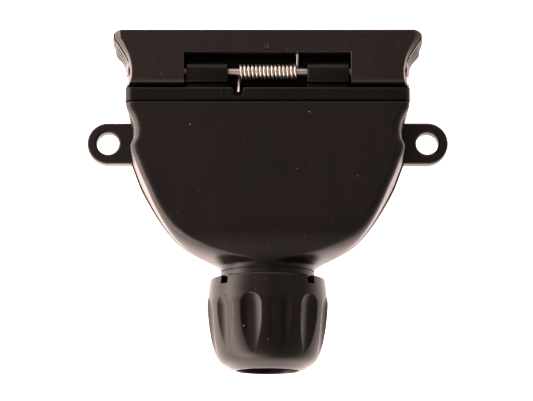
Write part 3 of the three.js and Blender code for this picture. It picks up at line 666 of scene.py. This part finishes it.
def base():
    r, top = EAR_HOLE_R, BASE_T
    ear_hole = [
        (0, -1), (r + 0.5, -1), (r + 0.5, -0.02), (r + 0.2, 0.1), (r + 0.05, 0.25), (r, 0.45),
        (r, top - 0.45), (r + 0.05, top - 0.25), (r + 0.2, top - 0.1), (r + 0.5, top + 0.02),
        (r + 0.5, 6), (0, 6)]
    screw_hole = [(0, -1), (3.3, -1), (3.3, 0), (3.05, 0.2), (3.0, 0.4), (3.0, 2.9),
                  (1.7, 2.9), (1.7, 6), (0, 6)]
    steps = [("+", slab(ear_line(s), 0, BASE_T, edge=0.55, n=5)) for s in (1, -1)]
    steps += [("-", turned_z(ear_hole, s * EAR_X, 0, 72)) for s in SIDES]
    steps += [("-", turned_z(screw_hole, x, y, 48)) for x, y in BASE_SCREWS]
    # shallow recess in the underside
    steps.append(("-", flared(
        lambda g: rounded(11 + g, -24 - g, -6 + g, 1.5 + g, 1.5 + g, 6),
        ((0.5, -0.5), (0.5, 0.0), (0.12, 0.15), (0, 0.35), (0, 0.8)))))
    floor_plate = slab(bell_plan(-0.35, 5.0, BASE_REAR, 0.5), 0, BASE_T, edge=0.35)
    finish("base_moulding", carve(floor_plate, steps), "housing", BASE, "base")


def gaskets():
    ring = carve(slab(bell_plan(0.9, 4.8, -30.4), BASE_T, BASE_T + GAP),
                 [("-", slab(bell_plan(2.2, 3.4, -28.9), BASE_T - 1, BASE_T + 1))])
    finish("body_gasket_ring", ring, "housing", RUBBER, "body_gasket")
    ring = carve(plate(rounded(33.5, 0.8, 27.6, 2.0, 0.6, 10), SEAM_Y + 0.02, FLANGE_REAR - 0.02),
                 [("-", plate(rounded(30.3, 4.0, 23.3, 0.8, 0.8, 6), 4, 7))])
    finish("frame_gasket_ring", ring, "housing", RUBBER, "frame_gasket")


# ---------------------------------------------------------------- front frame
FLANGE_FRONT = 8.9
FLANGE_TOP = 29.6
COLLAR_FRONT = 11.2
TUBE_HALF = 32.2
TUBE_TOP = 22.85
TUBE_FRONT = 19.4
MOUTH_HALF = 24.0
MOUTH_Z0 = 7.4
MOUTH_Z1 = 20.0
KNUCKLE_R = 2.45


def flange_section():
    """[y, z] outline of the flange and the collar sloping down in front of it."""
    rear, front, top, collar = FLANGE_REAR, FLANGE_FRONT, FLANGE_TOP, COLLAR_FRONT
    return ([(rear - 1, -1), (collar + 1, -1), (collar + 1, 0), (collar, 0.4), (collar, 22.2),
             (collar - 0.12, 22.6), (collar - 0.4, 22.9), (front + 0.5, 25.0),
             (front + 0.2, 25.6), (front, 26.4)]
            + arc(front - 0.5, top - 0.5, 0.5, range(0, 91, 15))
            + [(rear + 0.2, top), (rear + 0.06, top - 0.06), (rear, top - 0.2),
               (rear - 1, top - 0.3)])


def knuckle_section():
    """[y, z] outline: flat-topped block, round at the front, with a web back to the flange."""
    return ([(FLANGE_FRONT - 1, 22), (PIN_Y + 3.2, 22), (PIN_Y + 2.95, 23.4),
             (PIN_Y + 2.65, 25.2)]
            + arc(PIN_Y, PIN_Z, KNUCKLE_R, range(-8, 91, 7))
            + [(PIN_Y - 1.9, PIN_Z + KNUCKLE_R - 0.02), (PIN_Y - 2.3, 29.38),
               (PIN_Y - 2.65, 29.22), (PIN_Y - 2.92, 28.95), (PIN_Y - 3.08, 28.55),
               (PIN_Y - 3.15, 27.9), (PIN_Y - 3.15, 27.4), (FLANGE_FRONT - 1, 27.2)])


def mouth_outline(g):
    return rounded(MOUTH_HALF + g, MOUTH_Z0 - g, MOUTH_Z1 + g, 1.2 + g, 1.2 + g, 8)


def front_frame():
    flange = plate(rounded(34.4, 0, 29.7, 2.4, 0.6, 14), FLANGE_REAR, COLLAR_FRONT, edge=0.12)
    under = BASE_T + GAP
    tube = rounded(TUBE_HALF, 0, TUBE_TOP, 2.2, 1.0, 10)
    steps = [("*", side(flange_section(), -40, 40)),
             ("+", plate(tube, FLANGE_REAR + 1, TUBE_FRONT, edge=0.35)),
             ("+", box(-SPIGOT_HALF, SPIGOT_HALF, -3.0, FLANGE_REAR + 1, under, 22.8)),
             ("+", box(-25, 25, -13, 0, under, 6.6))]
    steps += [("+", side(knuckle_section(), x0, x1, edge=0.32, n=5))
              for x0, x1 in ((-19.7, -9.6), (9.6, 19.7))]
    # mouth with a flared front rim, room for the terminal block, pin hole
    rim = ((0, TUBE_FRONT - 1.0), (0.15, TUBE_FRONT - 0.7), (0.6, TUBE_FRONT - 0.1),
           (0.8, TUBE_FRONT + 0.2), (0.8, 21))
    steps += [("-", plate(mouth_outline(0), 4.0, 40)),
              ("-", loft([[(x, y, z) for x, z in mouth_outline(g)] for g, y in rim])),
              ("-", box(-BLOCK_HALF - GAP, BLOCK_HALF + GAP, -30, 4.3, 6.6, 20.8)),
              ("-", turned_x(rod(1.2, -30, 30)))]
    # pocket in the flange top for the spring's rear leg
    steps.append(("-", flared(
        lambda g: rounded(1.25 + g, 6.8 - g, 14, 0.2, 0.8 + g, 7),
        ((0, 26.1), (0, 29.2), (0.08, 29.45), (0.22, 29.61), (0.3, 29.7), (0.3, 32)), -7.15)))
    # four pockets in the underside
    for s in SIDES:
        for x0, x1 in ((1.2, 13.2), (15.4, 27.4)):
            half = (x1 - x0) / 2
            steps.append(("-", flared(
                lambda g: rounded(half + g, 8.0 - g, 17.2 + g, 0.8, 0.8, 5),
                ((0.3, -1), (0.3, 0.0), (0.05, 0.2), (0, 0.4), (0, 5.0)), s * (x0 + x1) / 2)))
    steps += [("-", turned_z(PILOT, x, y, 32)) for x, y in FRONT_SCREWS]
    # two ribs along the roof of the mouth
    for s in SIDES:
        rib = plate(rounded(0.8, MOUTH_Z1 - 0.9, MOUTH_Z1 + 0.5, 0.2, 0.25, 4), 6.5, 18.6,
                    edge=0.2)
        rib.data.transform(Matrix.Translation((s * 10.2, 0, 0)))
        steps.append(("+", rib))
    block_screw_hole = [(0, 0), (2.4, 0), (2.4, 5.9), (1.3, 5.9), (1.3, 8), (0, 8)]
    steps += [("-", turned_z(block_screw_hole, x, y, 36)) for x, y in BLOCK_SCREWS]
    finish("front_frame_moulding", carve(flange, steps), "housing", FRAME, "front_frame")


# ---------------------------------------------------------------- terminal block and contacts
def terminal_block():
    block = plate(rounded(BLOCK_HALF, 6.9, 20.5, 0.6, 0.6, 5), -14, 4.0, edge=0.25)
    entry = [(0, 2), (1.5, 2), (1.5, 3.4), (1.6, 3.65), (1.95, 4.0), (1.95, 6), (0, 6)]
    steps = []
    for x in CONTACT_X:
        steps += [("-", turned_y(profile, 40, x, CONTACT_Z))
                  for profile in (entry, rod(2.2, -7, 2.6), rod(2.75, -20, -6))]
        steps.append(("-", turned_z(rod(1.95, CONTACT_Z, 30), x, CLAMP_Y, 36)))
    steps += [("-", turned_z(rod(1.3, 0, 10.5), x, y, 28)) for x, y in BLOCK_SCREWS]
    steps.append(("-", box(-BLOCK_HALF - 1, BLOCK_HALF + 1, -20, -6.5, 18.9, 25)))
    finish("terminal_block_moulding", carve(block, steps), "housing", RESIN, "terminal_block")


def contacts():
    """Tubes slit at the front, with a clamp screw hole in the wider rear part."""
    profile = [
        (1.45, 2.3), (1.7, 2.28), (1.85, 2.15), (1.9, 1.95), (1.9, -1.0), (1.82, -1.2),
        (1.82, -2.2), (1.9, -2.4), (1.9, -5.8), (2.0, -6.05), (2.3, -6.3), (2.4, -6.5),
        (2.4, -12.8), (2.3, -13.0), (1.45, -13.0), (1.3, -12.8), (1.3, -7.6), (1.25, -7.0),
        (1.25, 2.1)]
    for i, x in enumerate(CONTACT_X, 1):
        tube = carve(turned_y(profile, 40, x, CONTACT_Z), [
            ("-", turned_z(rod(1.3, CONTACT_Z, 20), x, CLAMP_Y, 24)),
            ("-", box(x - 0.2, x + 0.2, -4.5, 4, CONTACT_Z - 3, CONTACT_Z + 3))])
        finish(f"contact_tube_{i}", tube, "housing", BRASS, f"contact_{i}")


# ---------------------------------------------------------------- screws
def threads(r, z0, z1, pitch, depth):
    """Ring-shaped thread ridges going up from z0."""
    points = []
    z = z0
    while z1 - z > pitch:
        points += [(r - depth, z + 0.12 * pitch), (r, z + 0.5 * pitch),
                   (r - depth, z + 0.88 * pitch)]
        z += pitch
    return points


def terminal_screws():
    profile = [(0, 12.9), (0.7, 12.9), *threads(1.0, 13.0, 16.4, pitch=0.5, depth=0.16),
               (0.84, 16.55), (1.35, 16.6), (1.55, 16.68), (1.6, 16.85), (1.6, 17.9),
               (1.52, 18.15), (1.3, 18.28), (0, 18.3)]
    for i, x in enumerate(CONTACT_X, 1):
        screw = carve(turned_z(profile, x, CLAMP_Y, 40),
                      [("-", box(x - 0.22, x + 0.22, -12, -7, 17.5, 19))])
        finish(f"terminal_screw_head_{i}", screw, "housing", ZINC, f"terminal_screw_{i}")


def base_screws():
    """Cross-headed screws, head down."""
    profile = [(0, 1.0), (1.4, 1.03), (2.0, 1.18), (2.35, 1.45), (2.5, 1.85), (2.5, 2.5),
               (2.4, 2.6), (1.15, 2.6), *threads(1.3, 2.9, 13.0, pitch=0.9, depth=0.28),
               (0.9, 13.2), (0.15, 14.0), (0, 14.0)]
    cross = ((1.6, 0), (1.6, 1.0), (0.6, 2.1))  # [half length, z] of each tapering arm
    for i, (x, y) in enumerate(BASE_SCREWS, 1):
        arms = [loft([[(x + a, y + b, z) for a, b in corners(*shape(q))] for q, z in cross])
                for shape in (lambda q: (q, 0.3), lambda q: (0.3, q))]
        screw = carve(turned_z(profile, x, y, 48), [("-", arm) for arm in arms])
        finish(f"base_screw_cross_head_{i}", screw, "housing", ZINC, f"base_screw_{i}")


def block_screws():
    """Slotted screws, head down."""
    profile = [(0, 4.7), (1.5, 4.72), (1.95, 4.85), (2.1, 5.1), (2.1, 5.5), (2.0, 5.6),
               (0.85, 5.6), *threads(1.0, 5.8, 9.8, pitch=0.6, depth=0.2), (0.3, 10.1),
               (0, 10.1)]
    for i, (x, y) in enumerate(BLOCK_SCREWS, 1):
        screw = carve(turned_z(profile, x, y, 40),
                      [("-", box(x - 2.6, x + 2.6, y - 0.25, y + 0.25, 4, 5.15))])
        finish(f"block_screw_head_{i}", screw, "housing", ZINC, f"block_screw_{i}")


# ---------------------------------------------------------------- lid
LID_FRONT = 23.1
LID_PANEL = 2.8
LID_IN_HALF = 32.8
LID_IN_FRONT = 20.4
WINDOW_HALF = 20.1
WINDOW_FRONT = 17.4
# Barrel round the hinge pin: reach in front of and behind the pin, corner radii
BARREL_FRONT = 3.1
BARREL_REAR = 3.5
BARREL_CORNER = 2.0
BARREL_HEEL = 1.8
# [y, half width] of the lid's top edge
LID_SIDE = [(9.6, 33.15), (11.2, 32.83), (12.9, 32.77), (14.9, 33.04), (16.9, 33.56),
            (18.15, 34.13), (20.0, 35.0), (21.1, 35.6), (23.4, 35.75)]
# [z, sideways growth]: the shared low part, then up at the hinge boss and near the front
GROW_LOW = [(0.8, -0.8), (1.0, -0.55), (1.5, -0.45), (12, -0.3), (19.35, -0.2), (19.6, 0.5),
            (19.8, 1.4)]
GROW_BOSS = GROW_LOW + [
    (20.1, 1.7), (20.5, 1.75), (23.7, 1.3), (25.6, 1.0), (27.3, 0.7), (28.3, 0.4),
    (29.4, 0.12), (29.75, 0.03), (29.88, -0.03), (29.95, -0.1), (30, -0.2)]
GROW_FRONT = GROW_LOW + [
    (20.1, 2.15), (20.5, 2.2), (23.7, 2.1), (25.6, 1.95), (27.3, 1.75), (28.3, 1.35),
    (29.0, 0.82), (29.5, 0.36), (29.75, 0.13), (29.9, 0.0), (29.96, -0.08), (30, -0.2)]
# [z, forward growth] of the front face
GROW_FORWARD = [(0.8, -0.7), (0.95, -0.4), (1.3, -0.2), (2.0, -0.12), (12, -0.1), (20, 0),
                (29.5, 0), (29.76, -0.05), (29.9, -0.14), (29.97, -0.24), (30, -0.34)]
# grooves along the flared sides: z, half height, depth
GROOVES = [(27.85, 0.42, 0.95), (25.95, 0.27, 0.46), (24.45, 0.27, 0.46),
           (22.85, 0.27, 0.46), (21.05, 0.38, 0.7)]


def lid_ring(z):
    boss, flare = curve(GROW_BOSS, z), curve(GROW_FRONT, z)
    front = LID_FRONT + curve(GROW_FORWARD, z)
    groove = 0.0
    for middle, half, depth in GROOVES:
        d = abs(z - middle) / half
        if d < 1:
            groove = max(groove, depth * cos(d * pi / 2) ** 0.5)
    # the lowest ribs swell where the side turns outwards
    low = min(1.0, max(0.0, (z - 19.5) / 0.4)) * min(1.0, max(0.0, (26.5 - z) / 5))

    def half_width(y):
        f = min(1.0, max(0.0, (y - 15.5) / 6))
        swell = np.exp(-((y - 18.3) / 1.5) ** 2) * low
        return (curve(LID_SIDE, y) + boss * (1 - f) + flare * f + 0.85 * swell
                - groove * smooth(15.1, 16.6, y))

    corner = 0.4 if z > 29.9 else min(1.5, 0.5 + (30 - z) * 0.2)
    turn_y = front - corner
    points = [(half_width(y), y) for y in np.linspace(9.5, turn_y, 34)]
    points += quarter(half_width(turn_y) - corner, turn_y, corner, 0, 8)[1:]
    return [(x, y, z) for x, y in points] + [(-x, y, z) for x, y in reversed(points)]


def lid_levels():
    """Section heights, closest where the grooves and rims are."""
    levels = [0.8, 0.85, 0.95, 1.1, 1.3, 1.6, 29.93, 29.97, 30.0]
    for start, end, step in ((1.0, 19.0, 1.5), (19.2, 20.6, 0.1), (20.6, 28.4, 0.065),
                             (28.4, 29.9, 0.1)):
        levels += list(np.arange(start, end, step))
    return sorted({round(z, 3) for z in levels})


def lid_hollow():
    """Space inside the lid, less the barrel round the hinge pin."""
    front, rear = PIN_Y + BARREL_FRONT, PIN_Y - BARREL_REAR
    corner, heel, bottom = BARREL_CORNER, BARREL_HEEL, PIN_Z - 3
    barrel = [(front, BODY_H + 1), (rear + corner, BODY_H + 1)]
    barrel += quarter(rear + corner, BODY_H + 0.06 - corner, corner, 90, 14)
    barrel += quarter(rear + heel, bottom + heel, heel, 180, 14)
    barrel += quarter(front - corner, bottom + corner, corner, 270, 14)
    skirt = [(0, 50), (0, -5), (18.9, -5), (18.9, 3), (18.2, 6), (17.3, 9),
             (PIN_Y + 0.25, 20.0), (PIN_Y + 0.05, 20.6), (PIN_Y, 21.4), (PIN_Y, 50)]
    inside = box(-LID_IN_HALF, LID_IN_HALF, -6, LID_IN_FRONT, -6, BODY_H - LID_PANEL)
    return carve(side(skirt, -60, 60), [("+", inside), ("-", side(barrel, -70, 70))])


def lid():
    catch = [(18.2, 27.8), (21, 27.8), (21, 24.2), (20.8, 24.0), (20.3, 24.0), (20.0, 24.2)]
    seal_groove = carve(plate(rounded(29.7, 3.3, 23.1, 2.9, 2.9, 8), 19, 21.3),
                        [("-", plate(rounded(26.5, 6.4, 20.6, 0.9, 0.9, 8), 18, 22))])
    # softened rim round the window's top edge
    window_rim = flared(
        lambda g: rounded(WINDOW_HALF + g, 2, WINDOW_FRONT + g, 0.05 + g, 0.05, 4),
        ((0.0, 29.86), (0.03, 29.93), (0.09, 29.98), (0.15, 30.01), (0.2, 31)))
    gate_mark = turned_z(
        [(0, 29.5), (0.66, 29.5), (0.66, 30.0), (0.6, 30.1), (0.45, 30.14), (0.3, 30.08),
         (0.2, 30.02), (0, 30.01)], -0.1, 18.85, 40)
    steps = [("-", lid_hollow()),
             ("+", side(catch, -6, 6, edge=0.2)),
             ("-", box(-WINDOW_HALF, WINDOW_HALF, -5, WINDOW_FRONT, 20, 40)),
             ("-", window_rim),
             ("-", turned_x(rod(1.25, -50, 50))),
             ("-", seal_groove),
             ("+", gate_mark)]
    shape = loft([lid_ring(z) for z in lid_levels()])
    finish("lid_moulding", carve(shape, steps), "lid", LID, "lid")


def lid_seal():
    outline = rounded(29.4, 3.6, 22.8, 2.6, 2.6, 10)
    # [inset, y] round the lip
    lip = ((0.05, 21.0), (0, 20.9), (0, 20.3), (0.25, 20.05), (0.75, 19.82), (1.1, 19.75),
           (1.5, 19.82), (1.9, 20.1), (2.2, 20.4), (2.2, 21.0))
    seal = loft([[(x, y, z) for x, z in inset(outline, d)] for d, y in lip], closed=True)
    finish("lid_seal_lip", seal, "lid", RUBBER, "lid_seal")


# ---------------------------------------------------------------- hinge pin and spring
SPRING_R = 1.6
WIRE_R = 0.352
COILS = 15
COIL_PITCH = 0.935
SPRING_X0 = -6.87
# Both legs leave the coil from below, one back into the flange's pocket and one forward
# under the lid panel: [coil angle in degrees, length]
REAR_LEG = (-27.7, 5.2)
FRONT_LEG = (12.0, 4.9)


def hinge_pin():
    h = PIN_L / 2
    pin = turned_x([
        (0, -h), (PIN_R - 0.3, -h), (PIN_R - 0.08, -h + 0.1), (PIN_R, -h + 0.3),
        (PIN_R, h - 0.3), (PIN_R - 0.08, h - 0.1), (PIN_R - 0.3, h), (0, h)])
    finish("hinge_pin_rod", pin, "lid", STEEL, "hinge_pin")


def coil_point(degrees):
    a = radians(degrees)
    return np.array([SPRING_X0 + COIL_PITCH * degrees / 360,
                     PIN_Y + SPRING_R * sin(a), PIN_Z - SPRING_R * cos(a)])


def leg(degrees, length, way, distances):
    """Straight run off the coil; way is 1 forwards along the wire, -1 backwards."""
    a = radians(degrees)
    return [coil_point(degrees) + way * np.array([0.1 * d / length, d * cos(a), d * sin(a)])
            for d in distances]


def torsion_spring():
    start, rear_length = REAR_LEG
    end, front_length = COILS * 360 + FRONT_LEG[0], FRONT_LEG[1]
    line = leg(start, rear_length, -1, np.linspace(rear_length, 0, 12)[:-1])
    line += [coil_point(d) for d in np.linspace(start, end, COILS * 30 + 4)]
    line += leg(end, front_length, 1, np.linspace(0, front_length, 12)[1:])
    line = np.array(line)
    tangents = np.gradient(line, axis=0)
    tangents /= np.linalg.norm(tangents, axis=1, keepdims=True)
    rings = []
    for point, t in zip(line, tangents):
        u = np.array([1.0, 0, 0]) - t * t[0]
        u /= np.linalg.norm(u)
        v = np.cross(t, u)
        rings.append([point + WIRE_R * (u * cos(2 * pi * k / 12) + v * sin(2 * pi * k / 12))
                      for k in range(12)])
    spring = dress("torsion_spring_wire", loft(rings), WIRE)
    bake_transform(spring)
    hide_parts("torsion_spring")


# ---------------------------------------------------------------- gland
NUT_BORE_R = 11.9
NUT_HOLE_R = 7.6
NUT_FRONT = -36.0
NUT_END = -58.3
FLUTES = 12
FLUTE_FRONT = -40.7
FLUTE_REAR = -54.9
FLUTE_HALF = 2.675
# [y, outer radius]
NUT_OUTER = [
    (NUT_END, 8.05), (-58.2, 8.3), (-57.9, 8.95), (-57.4, 9.8), (-56.7, 10.93),
    (-55.7, 11.92), (-54.3, 12.66), (-52, 13.42), (-49.5, 13.92), (-47.3, 14.26), (-44, 14.59),
    (-42, 14.7), (-40.4, 14.5), (-38.5, 14.3), (-37, 14.1), (-36.3, 14.0), (-36.08, 13.9),
    (NUT_FRONT, 13.7)]
# flute half width from the wide front end (0) to the point (1), as a share of the widest
FLUTE_LINE = [
    (0, 0), (0.012, 0.36), (0.025, 0.52), (0.09, 0.83), (0.185, 1), (0.34, 1), (0.5, 0.94),
    (0.66, 0.8), (0.82, 0.565), (0.914, 0.365), (0.98, 0.16), (1, 0)]


def flute_depth(angle, y, radius):
    if y > FLUTE_FRONT or y < FLUTE_REAR:
        return 0.0
    half = FLUTE_HALF * curve(FLUTE_LINE, (FLUTE_FRONT - y) / (FLUTE_FRONT - FLUTE_REAR))
    across = abs(angle) * radius
    if half < 0.03 or across >= half:
        return 0.0
    return half * half / 7.2 * (1 - (across / half) ** 2)


def nut_ring(y, n=432):
    step = 2 * pi / FLUTES
    outer = curve(NUT_OUTER, y)
    points = []
    for i in range(n):
        a = 2 * pi * i / n
        off = ((a - radians(14)) % step + 1.5 * step) % step - 0.5 * step
        r = outer - flute_depth(off, y, outer)
        points.append((r * sin(a), y, AXIS_Z + r * cos(a)))
    return points


def gland_nut():
    stations = [NUT_END, -58.25, -58.12, -57.9, -57.65, -57.35, -57.0, -56.5, -56.0, -55.5,
                -55.1, *np.arange(FLUTE_REAR, -42.8, 0.35), *np.arange(-42.8, -40.65, 0.09),
                -40.3, -39.5, -38.5, -37.5, -36.9, -36.6, -36.4, -36.25, -36.12, -36.05,
                NUT_FRONT]
    r = NUT_HOLE_R
    bore = [(0, -35), (12.5, -35), (12.5, -36.1), (12.3, -36.35), (NUT_BORE_R, -36.8),
            (NUT_BORE_R, -49), (11.3, -49.6), (11.3, -53.4), (r + 0.3, -54.3), (r, -54.7),
            (r, -58.0), (r + 0.03, -58.12), (r + 0.12, -58.25), (r + 0.25, -58.34),
            (r + 0.25, -60), (0, -60)]
    steps = [("-", turned_y(bore, 120))]
    # four notches in the front rim
    for degrees in (47.5, 132.5, 227.5, 312.5):
        notch = box(-1.2, 1.2, -1.5, 1.5, -1.3, 1.3)
        notch.data.transform(Matrix.Translation((0, -36.6, AXIS_Z))
                             @ Matrix.Rotation(radians(degrees), 4, "Y")
                             @ Matrix.Translation((0, 0, 13.7)))
        steps.append(("-", notch))
    nut = carve(loft([nut_ring(y) for y in stations]), steps)
    finish("gland_nut_fluted", nut, "gland_nut", NUT, "gland_nut", angle=38)


def gland_rings():
    sleeve = turned_y([
        (5.2, -39.2), (5.4, -39.0), (7.6, -39.0), (8.0, -39.25), (8.3, -39.8), (8.3, -41.5),
        (8.05, -41.8), (8.05, -42.3), (8.3, -42.6), (8.3, -44.5), (8.05, -44.8),
        (8.05, -45.3), (8.3, -45.6), (8.3, -47.7), (8.4, -47.8), (10.3, -47.8),
        (10.5, -48.0), (10.5, -49.8), (10.3, -50.0), (5.9, -50.0), (5.4, -49.7),
        (5.2, -49.2), (5.2, -47.0), (5.45, -46.5), (5.2, -46.0), (5.2, -43.5),
        (5.45, -43.0), (5.2, -42.5)])
    finish("gland_grommet_sleeve", sleeve, "housing", GROMMET, "gland_grommet")
    washer = turned_y([
        (6.2, -50.7), (6.5, -50.4), (10.7, -50.4), (10.9, -50.6), (10.9, -52.6),
        (10.5, -53.0), (6.5, -53.0), (6.2, -52.7)])
    finish("clamp_ring_washer", washer, "clamp_ring", CLAMP, "clamp_ring")


# ---------------------------------------------------------------- floor, light, camera
LIGHT_TINT = (1.0, 0.81, 0.745)
SKY_STRENGTH = 10.0
CAMERA_LENS = 162.1013133  # mm, on a 36 mm sensor
CAMERA_PLACE = (-0.0002755, -0.11543, 0.594415)  # metres
CAMERA_TILT = radians(9.7)  # from straight down towards +Y


def studio_floor():
    """A glowing table, brightest on the -X side and fading towards +X."""
    material, n, shader, coords = new_material("studio_floor")
    col = n.mix(n.noise(coords, scale=3.0, detail=2), (0.40, 0.37, 0.36), (0.44, 0.41, 0.40))
    n.feed(col, shader.inputs["Base Color"])
    glow = n.mix(n.noise(coords, scale=3.0, detail=2), LIGHT_TINT, (1.0, 0.82, 0.76))
    n.feed(glow, shader.inputs["Emission Color"])
    axes = n.add("SeparateXYZ")
    n.feed(coords, axes.inputs[0])
    # the ramp spans x = -0.2 to 0.2 m
    fall = n.ramp(n.plus(n.times(axes.outputs["X"], 2.5), 0.5),
                  [(0.0, 1.0), (0.5, 1.0), (0.5625, 0.84), (0.6125, 0.6), (0.6875, 0.4),
                   (0.75, 0.28), (0.875, 0.16), (1.0, 0.12)])
    n.feed(n.times(fall, 3.2), shader.inputs["Emission Strength"])
    shader.inputs["Roughness"].default_value = 0.9
    shader.inputs["Specular IOR Level"].default_value = 0.2
    bpy.ops.mesh.primitive_plane_add(size=6.0, location=(0, 0, CAD_BOX[0][2]))
    floor = bpy.context.active_object
    floor.name = "studio_floor"
    floor.data.materials.append(material)


def studio_world():
    """Soft low light on the -X side, a weaker one on +Y, a dim sky elsewhere."""
    world = bpy.data.worlds.new("studio")
    bpy.context.scene.world = world
    world.use_nodes = True
    n = Nodes(world.node_tree)
    output = n.add("OutputWorld")
    background = n.add("Background")
    n.feed(background.outputs[0], output.inputs[0])
    coords = n.add("TexCoord").outputs["Generated"]
    axes = n.add("SeparateXYZ")
    n.feed(coords, axes.inputs[0])
    x, y, z = (axes.outputs[name] for name in "XYZ")

    def sky(stops):
        """Brightness against the z of the view direction."""
        return n.ramp(z, [(p, tuple(v * c / SKY_STRENGTH for v in LIGHT_TINT))
                          for p, c in stops])

    wall = sky([(0.0, 10.0), (0.18, 8.6), (0.33, 6.0), (0.48, 2.5), (0.60, 0.85),
                (0.72, 0.44), (1.0, 0.42)])
    dim = sky([(0.0, 0.38), (0.25, 0.40), (1.0, 0.42)])
    front = sky([(0.0, 3.6), (0.18, 3.2), (0.34, 2.4), (0.55, 1.8), (0.72, 1.2),
                 (0.84, 0.5), (1.0, 0.38)])
    # masks by compass direction; the tiny term avoids dividing by zero overhead
    level = n.math("SQRT", n.plus(n.plus(n.times(x, x), n.times(y, y)), 1e-6))
    to_left = n.plus(n.times(n.math("DIVIDE", x, level), -0.5), 0.5)
    left_mask = n.fade(to_left, low=0.45, high=0.80)
    to_front = n.plus(n.times(n.math("DIVIDE", y, level), 0.5), 0.5)
    front_mask = n.fade(to_front, low=0.80, high=0.97)
    around = n.mix(left_mask, n.mix(front_mask, dim, front), wall)
    # overhead: a little redder, and falling off towards +X and -Y
    overhead = n.fade(z, low=0.84, high=0.94)
    y_lean = n.math("MINIMUM", n.times(n.math("SUBTRACT", y, 0.17), 1.6), 0.08)
    lean = n.plus(n.times(x, -8.0), y_lean)
    lean = n.math("MINIMUM", n.math("MAXIMUM", lean, -0.7), 1.0)
    n.feed(n.mix(overhead, around, (0.036, 0.0275, 0.0250)), background.inputs[0])
    strength = n.times(n.plus(n.times(overhead, lean), 1.0), SKY_STRENGTH)
    n.feed(strength, background.inputs[1])


def studio_camera():
    data = bpy.data.cameras.new("camera")
    data.sensor_width = 36.0
    data.lens = CAMERA_LENS
    data.clip_start = 0.01
    data.clip_end = 20
    camera = bpy.data.objects.new("camera", data)
    scene = bpy.context.scene
    scene.collection.objects.link(camera)
    camera.location = CAMERA_PLACE
    aim = Vector((0, sin(CAMERA_TILT), -cos(CAMERA_TILT)))
    camera.rotation_mode = "QUATERNION"
    camera.rotation_quaternion = aim.to_track_quat("-Z", "Y")
    scene.camera = camera
    scene.view_settings.view_transform = "Standard"
    scene.view_settings.look = "None"
    scene.view_settings.exposure = 0.0


for build in (rear_shell, base, gaskets, front_frame, terminal_block, contacts,
              terminal_screws, base_screws, block_screws, lid, lid_seal, hinge_pin,
              torsion_spring, gland_nut, gland_rings, studio_floor, studio_world,
              studio_camera):
    build()
